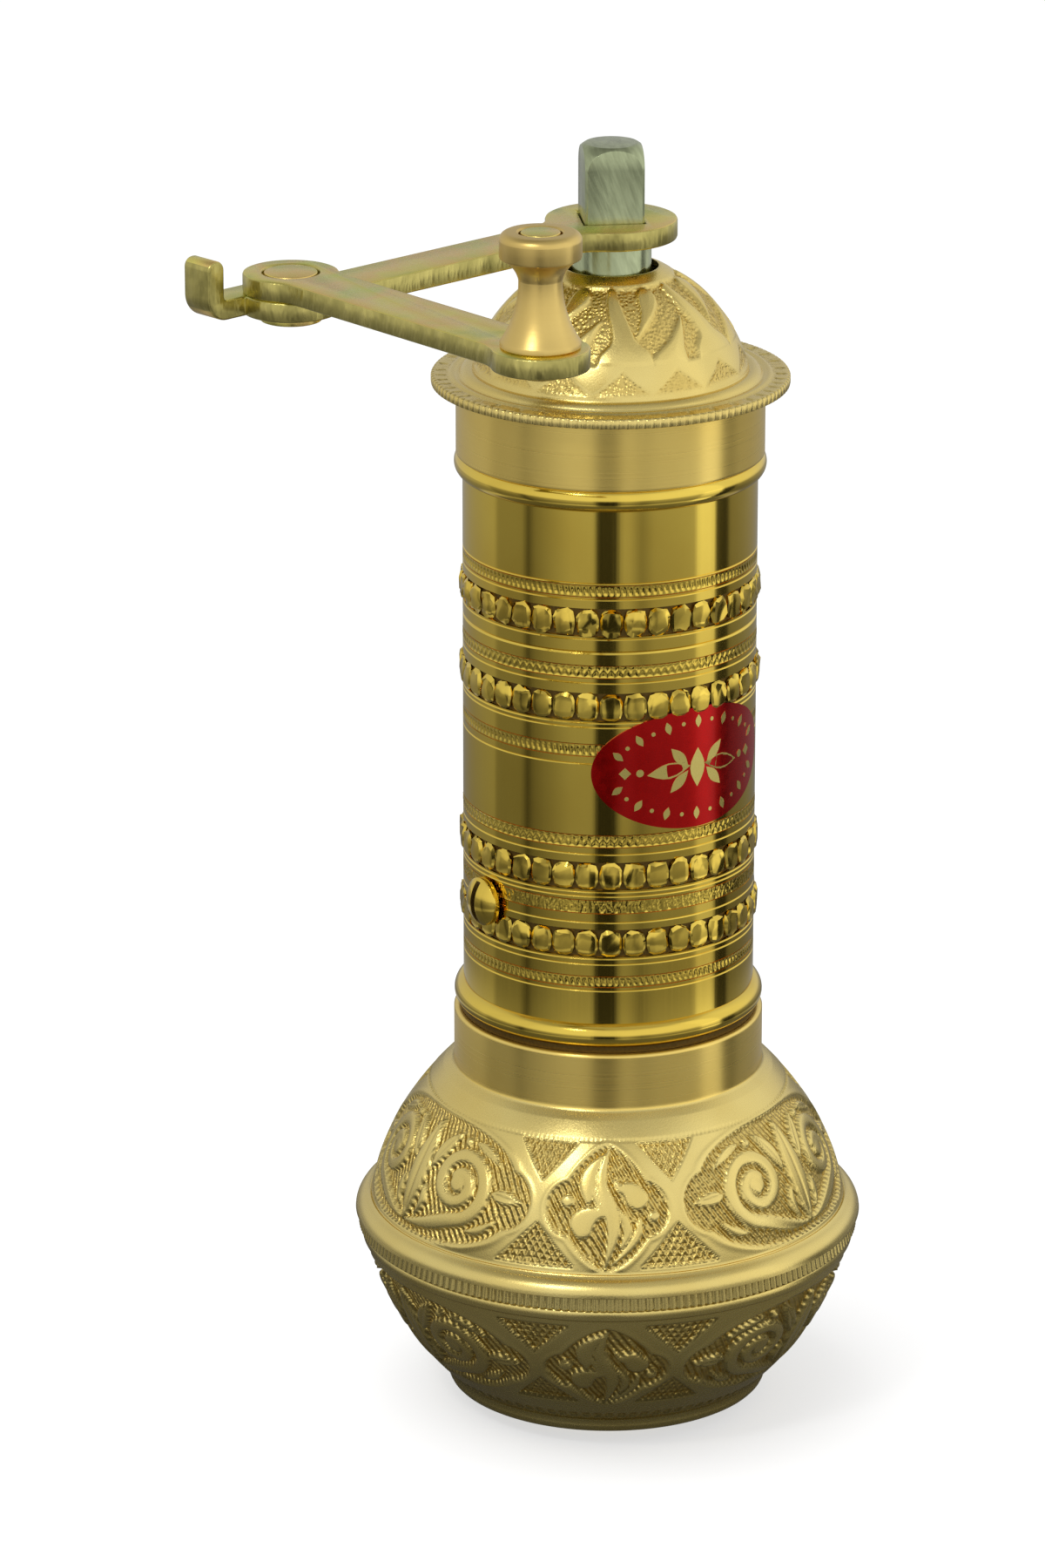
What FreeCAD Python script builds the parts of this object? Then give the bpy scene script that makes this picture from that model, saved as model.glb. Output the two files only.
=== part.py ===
"""Brass hand coffee mill: a slim tube with a burr mill in its foot, on a round receiver, under a domed lid.

Millimetres. +Z is up the mill's axis, the origin is the centre of the foot, and the front faces -Y.
"""
import FreeCAD, Part
import math
import os
from enum import IntEnum
from types import SimpleNamespace

import Sketcher

SIZES = {
    # Receiver: a bowl on a foot, and a shoulder with a collar
    "foot_diameter": 36.0,
    "foot_height": 2.0,
    "bowl_floor": 2.0,
    "bowl_base_diameter": 42.6,
    "bowl_rise": 24.8,
    "bowl_mouth_diameter": 75.8,
    "bowl_curve": 42.83,
    "bowl_floor_diameter": 42.5,
    "receiver_wall": 1.8,
    "ridge_diameter": 77.0,
    "ridge_height": 1.9,
    "spigot_diameter": 72.4,
    "spigot_wall": 1.3,
    "spigot_height": 2.5,
    "spigot_depth": 5.7,
    "spigot_fit": 0.05,
    "spigot_end_gap": 0.325,
    "band_diameter": 77.8,
    "band_height": 2.3,
    "rim_diameter": 79.2,
    "rim_height": 2.9,
    "rim_curve": 5.5,
    "shoulder_base_diameter": 74.0,
    "shoulder_line": 0.3,
    "shoulder_rise": 20.8,
    "shoulder_top_diameter": 51.2,
    "shoulder_curve": 41.8,
    "shoulder_lip": 0.9,
    "collar_root": 0.6,
    "collar_diameter": 48.0,
    "collar_height": 9.0,
    # Carving of the receiver: sunk cartouches with raised leaves, scrolls and buds, and corners between them
    "carving_depth": 0.7,
    "shoulder_carving_up": 0.6,
    "shoulder_carving_height": 16.8,
    "bowl_carving_up": 7.6,
    "bowl_carving_height": 15.8,
    "carver_hub_diameter": 48.0,
    "repeat_count": 3,
    "cartouche_half_width": 7.4,
    "cartouche_curve": 9.0,
    "lobe_curve": 3.1,
    "long_flat": 11.5,
    "long_azimuth": 60,
    "corner_azimuth": 18,
    "corner_half_width": 4.4,
    "corner_height": 5.0,
    "stem_margin": 1.0,
    "stem_curve": 14.0,
    "scroll_out": 9.4,
    "scroll_diameter": 9.8,
    "scroll_band": 2.2,
    "scroll_bud_diameter": 2.6,
    "leaf_near_out": 3.0,
    "leaf_near_up": 2.6,
    "leaf_far_out": 6.4,
    "leaf_far_up": 7.0,
    "leaf_curve": 4.0,
    "tip_near_out": 15.2,
    "tip_far_out": 19.4,
    "tip_curve": 2.6,
    "sprig_leaf_top_out": 0.9,
    "sprig_leaf_top_up": 6.4,
    "sprig_leaf_foot_out": 2.4,
    "sprig_leaf_foot_up": 0.6,
    "sprig_leaf_curve": 4.0,
    "sprig_stem_top_out": 1.2,
    "sprig_stem_top_up": 3.6,
    "sprig_stem_foot_out": 0.2,
    "sprig_stem_foot_drop": 6.6,
    "sprig_stem_curve": 12.0,
    "low_bud_diameter": 3.8,
    "low_bud_out": 3.7,
    "low_bud_drop": 2.2,
    "high_bud_diameter": 3.4,
    "high_bud_out": 3.9,
    "high_bud_up": 0.8,
    # Tube
    "tube_diameter": 45.0,
    "tube_wall": 1.5,
    "sliding_fit": 0.08,
    "neck_length": 9.4,
    "stop_diameter": 46.0,
    "stop_height": 1.0,
    "bead_height": 3.6,
    "bead_roll": 2.0,
    "barrel_length": 85.9,
    "lid_bead_height": 3.3,
    "lid_bead_seat_diameter": 46.4,
    "lid_neck_length": 9.9,
    "pearl_height": 4.2,
    "pearl_proud": 0.4,
    "first_pearls_up": 15.5,
    "second_pearls_up": 26.3,
    "third_pearls_up": 53.2,
    "fourth_pearls_up": 66.5,
    # Foil label
    "label_up": 44.4,
    "label_half_width": 17.3,
    "label_half_height": 8.4,
    "label_azimuth": -50.5,
    "label_tilt": 7.5,
    "foil_thickness": 0.2,
    "foil_gap": 0.02,
    # Lid
    "skirt_diameter": 47.0,
    "skirt_height": 10.8,
    "flange_diameter": 54.5,
    "flange_thickness": 1.5,
    "moulding_diameter": 46.0,
    "moulding_rise": 1.0,
    "moulding_roll": 1.6,
    "dome_base_diameter": 41.8,
    "dome_rise": 15.7,
    "dome_curve": 23.35,
    "lid_wall": 1.8,
    "lid_hole_diameter": 14.4,
    "lid_hole_edge": 2.0,
    "lid_top_gap": 0.7,
    # Shaft
    "rod_diameter": 12.2,
    "square_size": 9.0,
    "square_length": 14.5,
    "square_azimuth": 7.6,
    "rod_end_diameter": 8.0,
    "rod_end_height": 3.4,
    "rod_end_roll": 4.0,
    "journal_diameter": 10.0,
    "pivot_diameter": 6.0,
    "pivot_length": 1.5,
    "running_fit": 0.06,
    "press_gap": 0.02,
    "crank_gap": 4.4,
    # Burrs
    "burr_ring_height": 22.0,
    "ring_mouth_diameter": 37.0,
    "ring_throat_diameter": 30.0,
    "ring_throat_up": 12.0,
    "ring_outlet_diameter": 33.8,
    "ring_tooth_diameter": 33.2,
    "ring_tooth_width": 1.6,
    "ring_tooth_count": 30,
    "cone_diameter": 31.2,
    "cone_top_diameter": 17.0,
    "cone_edge": 2.0,
    "cone_lift": 2.5,
    "cone_tooth_depth": 1.2,
    "cone_tooth_width": 1.6,
    "cone_tooth_count": 24,
    "flute_depth_diameter": 21.0,
    "flute_width": 3.0,
    "flute_up": 4.0,
    "flute_count": 6,
    "pin_diameter": 3.0,
    "pin_length": 19.0,
    "pin_drop": 3.2,
    # Upper bridge, its bush and the two side screws
    "bridge_azimuth": 34.7,
    "bridge_clear": 0.9,
    "bridge_height": 7.6,
    "bridge_width": 9.0,
    "bridge_hub_diameter": 19.0,
    "bush_diameter": 16.0,
    "bush_flange": 1.0,
    "side_screw_diameter": 4.0,
    "side_screw_reach": 11.4,
    "side_screw_head_diameter": 7.5,
    "side_screw_head_height": 2.5,
    "side_screw_head_edge": 0.9,
    "side_screw_head_curve": 5.2,
    "side_screw_slot_width": 1.1,
    "side_screw_slot_depth": 1.2,
    "screw_gap": 0.04,
    "screw_hole_gap": 0.2,
    # Lower bridge, adjusting screw and lock nut
    "under_bridge_thickness": 4.0,
    "under_bridge_proud": 0.1,
    "under_bridge_width": 9.0,
    "under_boss_diameter": 14.0,
    "under_boss_drop": 3.0,
    "under_screw_diameter": 3.0,
    "under_screw_circle": 37.9,
    "under_screw_depth": 6.0,
    "under_screw_head_diameter": 5.4,
    "under_screw_head_height": 2.4,
    "adjuster_diameter": 8.0,
    "adjuster_tip_diameter": 5.0,
    "adjuster_tip_length": 1.0,
    "adjuster_length": 15.9,
    "adjuster_head_diameter": 12.0,
    "adjuster_head_height": 3.5,
    "adjuster_slot_width": 1.6,
    "adjuster_slot_depth": 1.8,
    "nut_size": 13.0,
    "nut_height": 5.0,
    "nut_half_angle": 30,
    # Crank
    "arm_thickness": 3.0,
    "inner_arm_length": 64.4,
    "inner_arm_azimuth": 224.1,
    "inner_waist": 8.5,
    "hub_diameter": 20.0,
    "elbow_diameter": 14.0,
    "waist_fillet": 6.0,
    "square_gap": 0.15,
    "finger_near_side": 2.5,
    "finger_width": 5.5,
    "finger_reach": 13.5,
    "tab_height": 9.0,
    "tab_bend": 3.6,
    "tab_tip_round": 1.4,
    "outer_arm_length": 55.4,
    "outer_arm_azimuth": -48.8,
    "outer_waist": 10.0,
    "knob_end_diameter": 14.0,
    "rivet_diameter": 6.0,
    "rivet_head_diameter": 7.8,
    "rivet_head_height": 1.0,
    "rivet_head_gap": 0.3,
    "rivet_foot_diameter": 9.0,
    "rivet_foot_height": 1.2,
    # Knob
    "knob_base_diameter": 11.4,
    "knob_base_edge": 0.8,
    "knob_neck_diameter": 6.2,
    "knob_neck_up": 9.6,
    "knob_waist_curve": 15.0,
    "knob_head_diameter": 11.6,
    "knob_head_height": 3.5,
    "knob_head_curve": 4.6,
    "knob_head_round": 1.2,
    "knob_height": 16.5,
    "knob_pin_diameter": 4.0,
    "knob_pin_head_diameter": 5.6,
    "knob_pin_head_height": 1.2,
    "knob_pin_foot_diameter": 6.0,
    "knob_pin_foot_height": 1.2,
    "knob_pin_end_gap": 0.1,
    # How far a cut is drawn past what it cuts
    "cut_margin": 1.0,
}

# How a sketch numbers the points of an edge, and its own two axes
Point = IntEnum("Point", "START END CENTRE")
Axis = IntEnum("Axis", "UP ACROSS", start=-2)


class Size:
    """A length, angle or count: its value now, and the formula that works it out from the sheet."""

    def __init__(self, value, formula):
        self.value = value
        self.formula = formula

    def __add__(self, other):
        other = as_size(other)
        return Size(self.value + other.value, f"({self.formula} + {other.formula})")

    def __sub__(self, other):
        other = as_size(other)
        return Size(self.value - other.value, f"({self.formula} - {other.formula})")

    def __mul__(self, other):
        other = as_size(other)
        return Size(self.value * other.value, f"({self.formula} * {other.formula})")

    def __truediv__(self, other):
        other = as_size(other)
        return Size(self.value / other.value, f"({self.formula} / {other.formula})")

    def __neg__(self):
        return Size(-self.value, f"(0 - {self.formula})")


def as_size(number):
    return number if isinstance(number, Size) else Size(float(number), str(number))


def root(size):
    return Size(math.sqrt(size.value), f"sqrt({size.formula})")


def cosine(angle):
    return Size(math.cos(math.radians(angle.value)), f"cos({angle.formula})")


def sine(angle):
    return Size(math.sin(math.radians(angle.value)), f"sin({angle.formula})")


doc = FreeCAD.newDocument("CoffeeMill")
sheet = doc.addObject("Spreadsheet::Sheet", "Sizes")
for row, (name, number) in enumerate(SIZES.items(), start=1):
    sheet.set(f"A{row}", name)
    sheet.set(f"B{row}", str(number))
    sheet.setAlias(f"B{row}", name)
doc.recompute()
s = SimpleNamespace(**{name: Size(number, f"Sizes.{name}") for name, number in SIZES.items()})


# Levels up the axis, each from the one below it
foot_top = s.foot_height
floor_top = foot_top + s.bowl_floor
ridge_base = foot_top + s.bowl_rise
split = ridge_base + s.ridge_height
band_top = split + s.band_height
rim_top = band_top + s.rim_height
shoulder_base = rim_top + s.shoulder_line
shoulder_top = shoulder_base + s.shoulder_rise
collar_base = shoulder_top + s.shoulder_lip
seat = collar_base + s.collar_height
tube_base = seat - s.neck_length
stop_top = seat + s.stop_height
bead_top = stop_top + s.bead_height
lid_bead_base = seat + s.barrel_length
lid_seat = lid_bead_base + s.lid_bead_height
tube_top = lid_seat + s.lid_neck_length
flange_base = lid_seat + s.skirt_height
flange_top = flange_base + s.flange_thickness
dome_base = flange_top + s.moulding_rise
dome_top = dome_base + s.dome_rise
crank_seat = dome_top + s.crank_gap
outer_arm_base = crank_seat + s.arm_thickness
knob_base = outer_arm_base + s.arm_thickness
knob_top = knob_base + s.knob_height
ring_base = tube_base + s.under_bridge_thickness - s.under_bridge_proud
ring_top = ring_base + s.burr_ring_height
cone_base = ring_base + s.cone_lift
bridge_base = ring_top + s.bridge_clear
bridge_top = bridge_base + s.bridge_height
bridge_middle = bridge_base + s.bridge_height / 2
under_base = ring_base - s.under_bridge_thickness
boss_base = under_base - s.under_boss_drop
pivot_base = cone_base - s.pivot_length
adjuster_top = pivot_base - s.adjuster_tip_length
adjuster_base = adjuster_top - s.adjuster_length

# Radii that more than one piece takes
tube_r = s.tube_diameter / 2
bore_r = tube_r - s.tube_wall
rod_r = s.rod_diameter / 2
socket_r = tube_r + s.sliding_fit
spigot_r = s.spigot_diameter / 2
ring_r = bore_r - s.press_gap
rivet_r = s.rivet_diameter / 2
knob_pin_r = s.knob_pin_diameter / 2

# The lower bridge lies square to the upper one
under_azimuth = s.bridge_azimuth + 90


def bind(target, path, size):
    target.setExpression(path, size.formula)


def new_body(label):
    body = doc.addObject("PartDesign::Body", label)
    body.Label = label
    return body


def origin_feature(body, role):
    return next(item for item in body.Origin.OriginFeatures if item.Role == role)


def sketch_on(body, role, name, offset=None, turn=None):
    """A sketch on one of the body's own planes, moved along its normal and turned about it."""
    sketch = body.newObject("Sketcher::SketchObject", name)
    sketch.AttachmentSupport = (origin_feature(body, role), [""])
    sketch.MapMode = "FlatFace"
    rise = FreeCAD.Vector(0, 0, offset.value if offset else 0)
    spin = FreeCAD.Rotation(FreeCAD.Vector(0, 0, 1), turn.value if turn else 0)
    sketch.AttachmentOffset = FreeCAD.Placement(rise, spin)
    if offset:
        bind(sketch, "AttachmentOffset.Base.z", offset)
    if turn:
        bind(sketch, "AttachmentOffset.Rotation.Angle", turn)
    return sketch


def measure(sketch, constraint, size):
    index = sketch.addConstraint(constraint)
    bind(sketch, f"Constraints[{index}]", size)


def pin(sketch, edge, end, across, up):
    """Hold one point of an edge at its distances from the sketch's origin."""
    for kind, axis, place in (("DistanceX", Axis.UP, across), ("DistanceY", Axis.ACROSS, up)):
        if isinstance(place, Size):
            distance = Sketcher.Constraint(kind, Axis.ACROSS, Point.START, edge, end, place.value)
            measure(sketch, distance, place)
        else:
            sketch.addConstraint(Sketcher.Constraint("PointOnObject", edge, end, axis))


def add_stretch(sketch, start, end):
    """Add the stretch between two corners, and give its edge with its first and last points.

    A corner's third value is the radius of the round stretch after it: above zero it swells
    outwards, below zero it is hollow.
    """
    first = FreeCAD.Vector(as_size(start[0]).value, as_size(start[1]).value, 0)
    last = FreeCAD.Vector(as_size(end[0]).value, as_size(end[1]).value, 0)
    if len(start) == 2:
        return sketch.addGeometry(Part.LineSegment(first, last)), Point.START, Point.END
    bend = start[2]
    swells = bend.value > 0
    radius = bend if swells else -bend
    low, high = (first, last) if swells else (last, first)
    chord = high - low
    left = FreeCAD.Vector(-chord.y, chord.x, 0).normalize()
    sink = math.sqrt(radius.value ** 2 - (chord.Length / 2) ** 2)
    centre = (low + high) * 0.5 + left * sink
    angles = [math.atan2(point.y - centre.y, point.x - centre.x) for point in (low, high)]
    circle = Part.Circle(centre, FreeCAD.Vector(0, 0, 1), radius.value)
    edge = sketch.addGeometry(Part.ArcOfCircle(circle, angles[0], angles[1]))
    measure(sketch, Sketcher.Constraint("Radius", edge, radius.value), radius)
    return (edge, Point.START, Point.END) if swells else (edge, Point.END, Point.START)


def outline(sketch, corners):
    """Draw a closed outline, anticlockwise through its corners, with every size bound."""
    following = corners[1:] + corners[:1]
    stretches = [add_stretch(sketch, start, end) for start, end in zip(corners, following)]
    for (edge, _, last), (after, first, _) in zip(stretches, stretches[1:] + stretches[:1]):
        sketch.addConstraint(Sketcher.Constraint("Coincident", edge, last, after, first))
    for (edge, first, _), corner in zip(stretches, corners):
        pin(sketch, edge, first, corner[0], corner[1])


def circle(sketch, radius, across=0, up=0):
    place = FreeCAD.Vector(as_size(across).value, as_size(up).value, 0)
    edge = sketch.addGeometry(Part.Circle(place, FreeCAD.Vector(0, 0, 1), radius.value))
    measure(sketch, Sketcher.Constraint("Radius", edge, radius.value), radius)
    pin(sketch, edge, Point.CENTRE, across, up)


def square(sketch, half_wide, half_high):
    outline(sketch, [(-half_wide, -half_high), (half_wide, -half_high),
                     (half_wide, half_high), (-half_wide, half_high)])


def turn_profile(body, corners):
    """Turn an outline of (radius, height) corners about the body's axis."""
    sketch = sketch_on(body, "XZ_Plane", "Profile")
    outline(sketch, corners)
    spin = body.newObject("PartDesign::Revolution", "Turned")
    spin.Profile = sketch
    spin.ReferenceAxis = (sketch, ["V_Axis"])
    spin.Angle = 360
    return body


def turned(label, corners):
    return turn_profile(new_body(label), corners)


def pad(body, sketch, length):
    feature = body.newObject("PartDesign::Pad", "Pad")
    feature.Profile = sketch
    feature.Length = length.value
    bind(feature, "Length", length)
    return feature


def pocket(body, sketch, length=None, upwards=False):
    """Cut a sketch out of the body to a length, or right through both ways without one."""
    before = body.Tip
    feature = body.newObject("PartDesign::Pocket", "Pocket")
    feature.Profile = sketch
    if length:
        feature.Length = length.value
        feature.Reversed = upwards
        bind(feature, "Length", length)
    else:
        feature.SideType = "Symmetric"
        feature.Type = "ThroughAll"
    doc.recompute()
    assert feature.Shape.Volume < before.Shape.Volume, f"{body.Label}: a pocket cuts nothing"
    return feature


def repeat_round(body, feature, count):
    """Repeat a feature evenly round the body's axis."""
    pattern = body.newObject("PartDesign::PolarPattern", "Round")
    pattern.Originals = [feature]
    pattern.Axis = (origin_feature(body, "Z_Axis"), [""])
    pattern.Angle = 360
    pattern.Occurrences = int(count.value)
    bind(pattern, "Occurrences", count)
    body.Tip = pattern
    doc.recompute()
    return pattern


def stand(item, up=None, azimuth=None, across=None, along=None):
    """Place a piece: turned about the vertical, then moved."""
    values = [place.value if place else 0 for place in (across, along, up)]
    turn = FreeCAD.Rotation(FreeCAD.Vector(0, 0, 1), azimuth.value if azimuth else 0)
    item.Placement = FreeCAD.Placement(FreeCAD.Vector(*values), turn)
    for axis, place in (("x", across), ("y", along), ("z", up)):
        if place:
            bind(item, f"Placement.Base.{axis}", place)
    if azimuth:
        bind(item, "Placement.Rotation.Angle", azimuth)


def mirrored_pair(label, item, normal):
    """One node of two like solids: a piece and its mirror image across the mill's axis."""
    twin = doc.addObject("Part::Mirroring", f"{label}_twin")
    twin.Source = item
    twin.Normal = normal
    pair = doc.addObject("Part::Compound", label)
    pair.Label = label
    pair.Links = [item, twin]
    return pair


def cartouche(sketch, flat, base, height):
    """A cartouche with a lobe at each end: pointed above and below, or with flat edges there."""
    low = base + height / 3
    high = base + height * 2 / 3
    top = base + height
    reach = s.cartouche_half_width + flat if flat else s.cartouche_half_width
    bend = s.cartouche_curve
    right = [(reach, low, s.lobe_curve), (reach, high, bend)]
    left = [(-reach, high, s.lobe_curve), (-reach, low, bend)]
    if flat:
        outline(sketch, [(-flat, base), (flat, base, bend), *right, (flat, top), (-flat, top, bend), *left])
    else:
        outline(sketch, [(0, base, bend), *right, (0, top, bend), *left])


def leaf(sketch, start, end, curve):
    """A leaf between two points, with both of its sides swelling."""
    outline(sketch, [(*start, curve), (*end, curve)])


def draw_sprig(sketch, base, height):
    """A pointed cartouche round a leaf, a stem and two buds."""
    cartouche(sketch, None, base, height)
    middle = base + height / 2
    leaf(sketch, (-s.sprig_leaf_top_out, middle + s.sprig_leaf_top_up),
         (-s.sprig_leaf_foot_out, middle + s.sprig_leaf_foot_up), s.sprig_leaf_curve)
    leaf(sketch, (s.sprig_stem_top_out, middle + s.sprig_stem_top_up),
         (s.sprig_stem_foot_out, middle - s.sprig_stem_foot_drop), s.sprig_stem_curve)
    circle(sketch, s.low_bud_diameter / 2, -s.low_bud_out, middle - s.low_bud_drop)
    circle(sketch, s.high_bud_diameter / 2, s.high_bud_out, middle + s.high_bud_up)


def draw_scrolls(sketch, base, height):
    """A long cartouche round an upright leaf between two scrolls, with leaves about them."""
    cartouche(sketch, s.long_flat, base, height)
    middle = base + height / 2
    leaf(sketch, (0, base + s.stem_margin), (0, base + height - s.stem_margin), s.stem_curve)
    scroll_r = s.scroll_diameter / 2
    for out, side in ((s.scroll_out, 1), (-s.scroll_out, -1)):
        for radius in (scroll_r, scroll_r - s.scroll_band, s.scroll_bud_diameter / 2):
            circle(sketch, radius, out, middle)
        leaf(sketch, (s.tip_near_out * side, middle), (s.tip_far_out * side, middle), s.tip_curve)
        for turn in (1, -1):
            leaf(sketch, (s.leaf_near_out * side, middle + s.leaf_near_up * turn),
                 (s.leaf_far_out * side, middle + s.leaf_far_up * turn), s.leaf_curve)


def draw_corners(sketch, base, height):
    """The two corners between a pointed and a long cartouche, one above the other."""
    half = s.corner_half_width
    top = base + height
    outline(sketch, [(-half, base), (half, base), (0, base + s.corner_height)])
    outline(sketch, [(-half, top), (0, top - s.corner_height), (half, top)])


def carved(label, body, stretch, curve, base, height):
    """Sink the ground of the ornament into a round stretch of a turned piece.

    A drawing stands in front of the mill and is carried in to a hub, three times round. Where that
    meets a thin skin under the stretch is what is cut away.
    """
    (low_r, low), (high_r, high) = stretch
    skin = turned(f"{label}_skin", [
        (low_r + s.cut_margin, low, curve),
        (high_r + s.cut_margin, high),
        (high_r - s.carving_depth, high, -curve),
        (low_r - s.carving_depth, low),
    ])
    drawings = [
        ("sprigs", draw_sprig, None),
        ("scrolls", draw_scrolls, s.long_azimuth),
        ("right_corners", draw_corners, s.corner_azimuth),
        ("left_corners", draw_corners, -s.corner_azimuth),
    ]
    for name, draw, azimuth in drawings:
        carver = new_body(f"{label}_{name}_carver")
        hub = sketch_on(carver, "XY_Plane", "Hub", offset=base)
        circle(hub, s.carver_hub_diameter / 2)
        pad(carver, hub, height)
        drawing = sketch_on(carver, "XZ_Plane", "Drawing", offset=tube_r)
        draw(drawing, base, height)
        front = pad(carver, drawing, s.rim_diameter / 2 + s.cut_margin - tube_r)
        doc.recompute()
        repeat_round(carver, front, s.repeat_count)
        stand(carver, azimuth=azimuth)
        ground = doc.addObject("Part::Common", f"{label}_{name}_ground")
        ground.Base = skin
        ground.Tool = carver
        cut = doc.addObject("Part::Cut", f"{label}_{name}")
        cut.Base = body
        cut.Tool = ground
        body = cut
    doc.recompute()
    body.Label = label
    return body


def make_bowl():
    inner_r = spigot_r - s.spigot_wall
    inner_curve = s.bowl_curve - s.receiver_wall
    base_r = s.bowl_base_diameter / 2
    mouth_r = s.bowl_mouth_diameter / 2
    foot_r = s.foot_diameter / 2
    ridge_r = s.ridge_diameter / 2
    bowl = turned("BowlTurned", [
        (0, 0),
        (foot_r, 0),
        (foot_r, foot_top),
        (base_r, foot_top, s.bowl_curve),
        (mouth_r, ridge_base),
        (ridge_r, ridge_base),
        (ridge_r, split),
        (spigot_r, split),
        (spigot_r, split + s.spigot_height),
        (inner_r, split + s.spigot_height),
        (inner_r, split - s.spigot_depth, -inner_curve),
        (s.bowl_floor_diameter / 2, floor_top),
        (0, floor_top),
    ])
    stretch = [(base_r, foot_top), (mouth_r, ridge_base)]
    return carved("receiver_bowl", bowl, stretch, s.bowl_curve,
                  foot_top + s.bowl_carving_up, s.bowl_carving_height)


def make_shoulder():
    socket = spigot_r + s.spigot_fit
    step_up = split + s.spigot_height + s.spigot_end_gap
    base_r = s.shoulder_base_diameter / 2
    top_r = s.shoulder_top_diameter / 2
    inner_base_r = base_r - s.receiver_wall
    shoulder = turned("ShoulderTurned", [
        (socket, split),
        (s.band_diameter / 2, split),
        (s.band_diameter / 2, band_top),
        (s.rim_diameter / 2, band_top, s.rim_curve),
        (base_r + s.shoulder_line, rim_top),
        (base_r, rim_top),
        (base_r, shoulder_base, s.shoulder_curve),
        (top_r, shoulder_top),
        (s.collar_diameter / 2, collar_base),
        (s.collar_diameter / 2, seat),
        (socket_r, seat),
        (socket_r, collar_base - s.collar_root, -(s.shoulder_curve - s.receiver_wall)),
        (inner_base_r, shoulder_base),
        (inner_base_r, step_up),
        (socket, step_up),
    ])
    stretch = [(base_r, shoulder_base), (top_r, shoulder_top)]
    return carved("receiver_shoulder", shoulder, stretch, s.shoulder_curve,
                  shoulder_base + s.shoulder_carving_up, s.shoulder_carving_height)


def make_tube():
    pearl_r = tube_r + s.pearl_proud
    corners = [
        (bore_r, tube_base),
        (tube_r, tube_base),
        (tube_r, seat),
        (s.stop_diameter / 2, seat),
        (s.stop_diameter / 2, stop_top, s.bead_roll),
        (tube_r, bead_top),
    ]
    for up in (s.first_pearls_up, s.second_pearls_up, s.third_pearls_up, s.fourth_pearls_up):
        low = seat + up
        high = low + s.pearl_height
        corners += [(tube_r, low), (pearl_r, low), (pearl_r, high), (tube_r, high)]
    corners += [
        (tube_r, lid_bead_base, s.bead_roll),
        (s.lid_bead_seat_diameter / 2, lid_seat),
        (tube_r, lid_seat),
        (tube_r, tube_top),
        (bore_r, tube_top),
    ]
    tube = turned("main_tube", corners)
    hole = sketch_on(tube, "YZ_Plane", "ScrewHoles")
    circle(hole, s.side_screw_diameter / 2 + s.screw_hole_gap, 0, bridge_middle)
    pocket(tube, hole)
    stand(tube, azimuth=s.bridge_azimuth)
    return tube


def make_label():
    """The oval of foil: where a thin sleeve round the tube meets an oval bar pointing at it."""
    sleeve_r = tube_r + s.foil_gap
    middle = seat + s.label_up
    tools = []
    for name, radius in (("FoilOutside", sleeve_r + s.foil_thickness), ("FoilInside", sleeve_r)):
        tool = doc.addObject("Part::Cylinder", name)
        bind(tool, "Radius", radius)
        bind(tool, "Height", s.label_half_width * 2)
        bind(tool, "Placement.Base.z", middle - s.label_half_width)
        tools.append(tool)
    sleeve = doc.addObject("Part::Cut", "FoilSleeve")
    sleeve.Base, sleeve.Tool = tools
    oval = doc.addObject("Part::Ellipse", "FoilOval")
    bind(oval, "MajorRadius", s.label_half_width)
    bind(oval, "MinorRadius", s.label_half_height)
    facing = math.radians(s.label_azimuth.value)
    outwards = FreeCAD.Vector(math.cos(facing), math.sin(facing), 0)
    rightwards = FreeCAD.Vector(-math.sin(facing), math.cos(facing), 0)
    upright = FreeCAD.Rotation(rightwards, FreeCAD.Vector(0, 0, 1), outwards, "ZXY")
    tilt = FreeCAD.Rotation(outwards, s.label_tilt.value)
    oval.Placement = FreeCAD.Placement(FreeCAD.Vector(0, 0, middle.value), tilt * upright)
    bind(oval, "Placement.Base.z", middle)
    bar = doc.addObject("Part::Extrusion", "FoilBar")
    bar.Base = oval
    bar.DirMode = "Custom"
    bar.Dir = outwards
    bar.Solid = True
    bind(bar, "LengthFwd", s.tube_diameter)
    label = doc.addObject("Part::Common", "foil_label")
    label.Label = "foil_label"
    label.Base = sleeve
    label.Tool = bar
    return label


def make_lid():
    hole_r = s.lid_hole_diameter / 2
    base_r = s.dome_base_diameter / 2
    skirt_r = s.skirt_diameter / 2
    flange_r = s.flange_diameter / 2
    ceiling = tube_top + s.lid_top_gap
    return turned("lid", [
        (socket_r, lid_seat),
        (skirt_r, lid_seat),
        (skirt_r, flange_base),
        (flange_r, flange_base),
        (flange_r, flange_top),
        (s.moulding_diameter / 2, flange_top, s.moulding_roll),
        (base_r, dome_base, s.dome_curve),
        (hole_r, dome_top),
        (hole_r, dome_top - s.lid_hole_edge, -(s.dome_curve - s.lid_wall)),
        (base_r - s.lid_wall, dome_base),
        (base_r - s.lid_wall, ceiling),
        (socket_r, ceiling),
    ])


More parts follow.
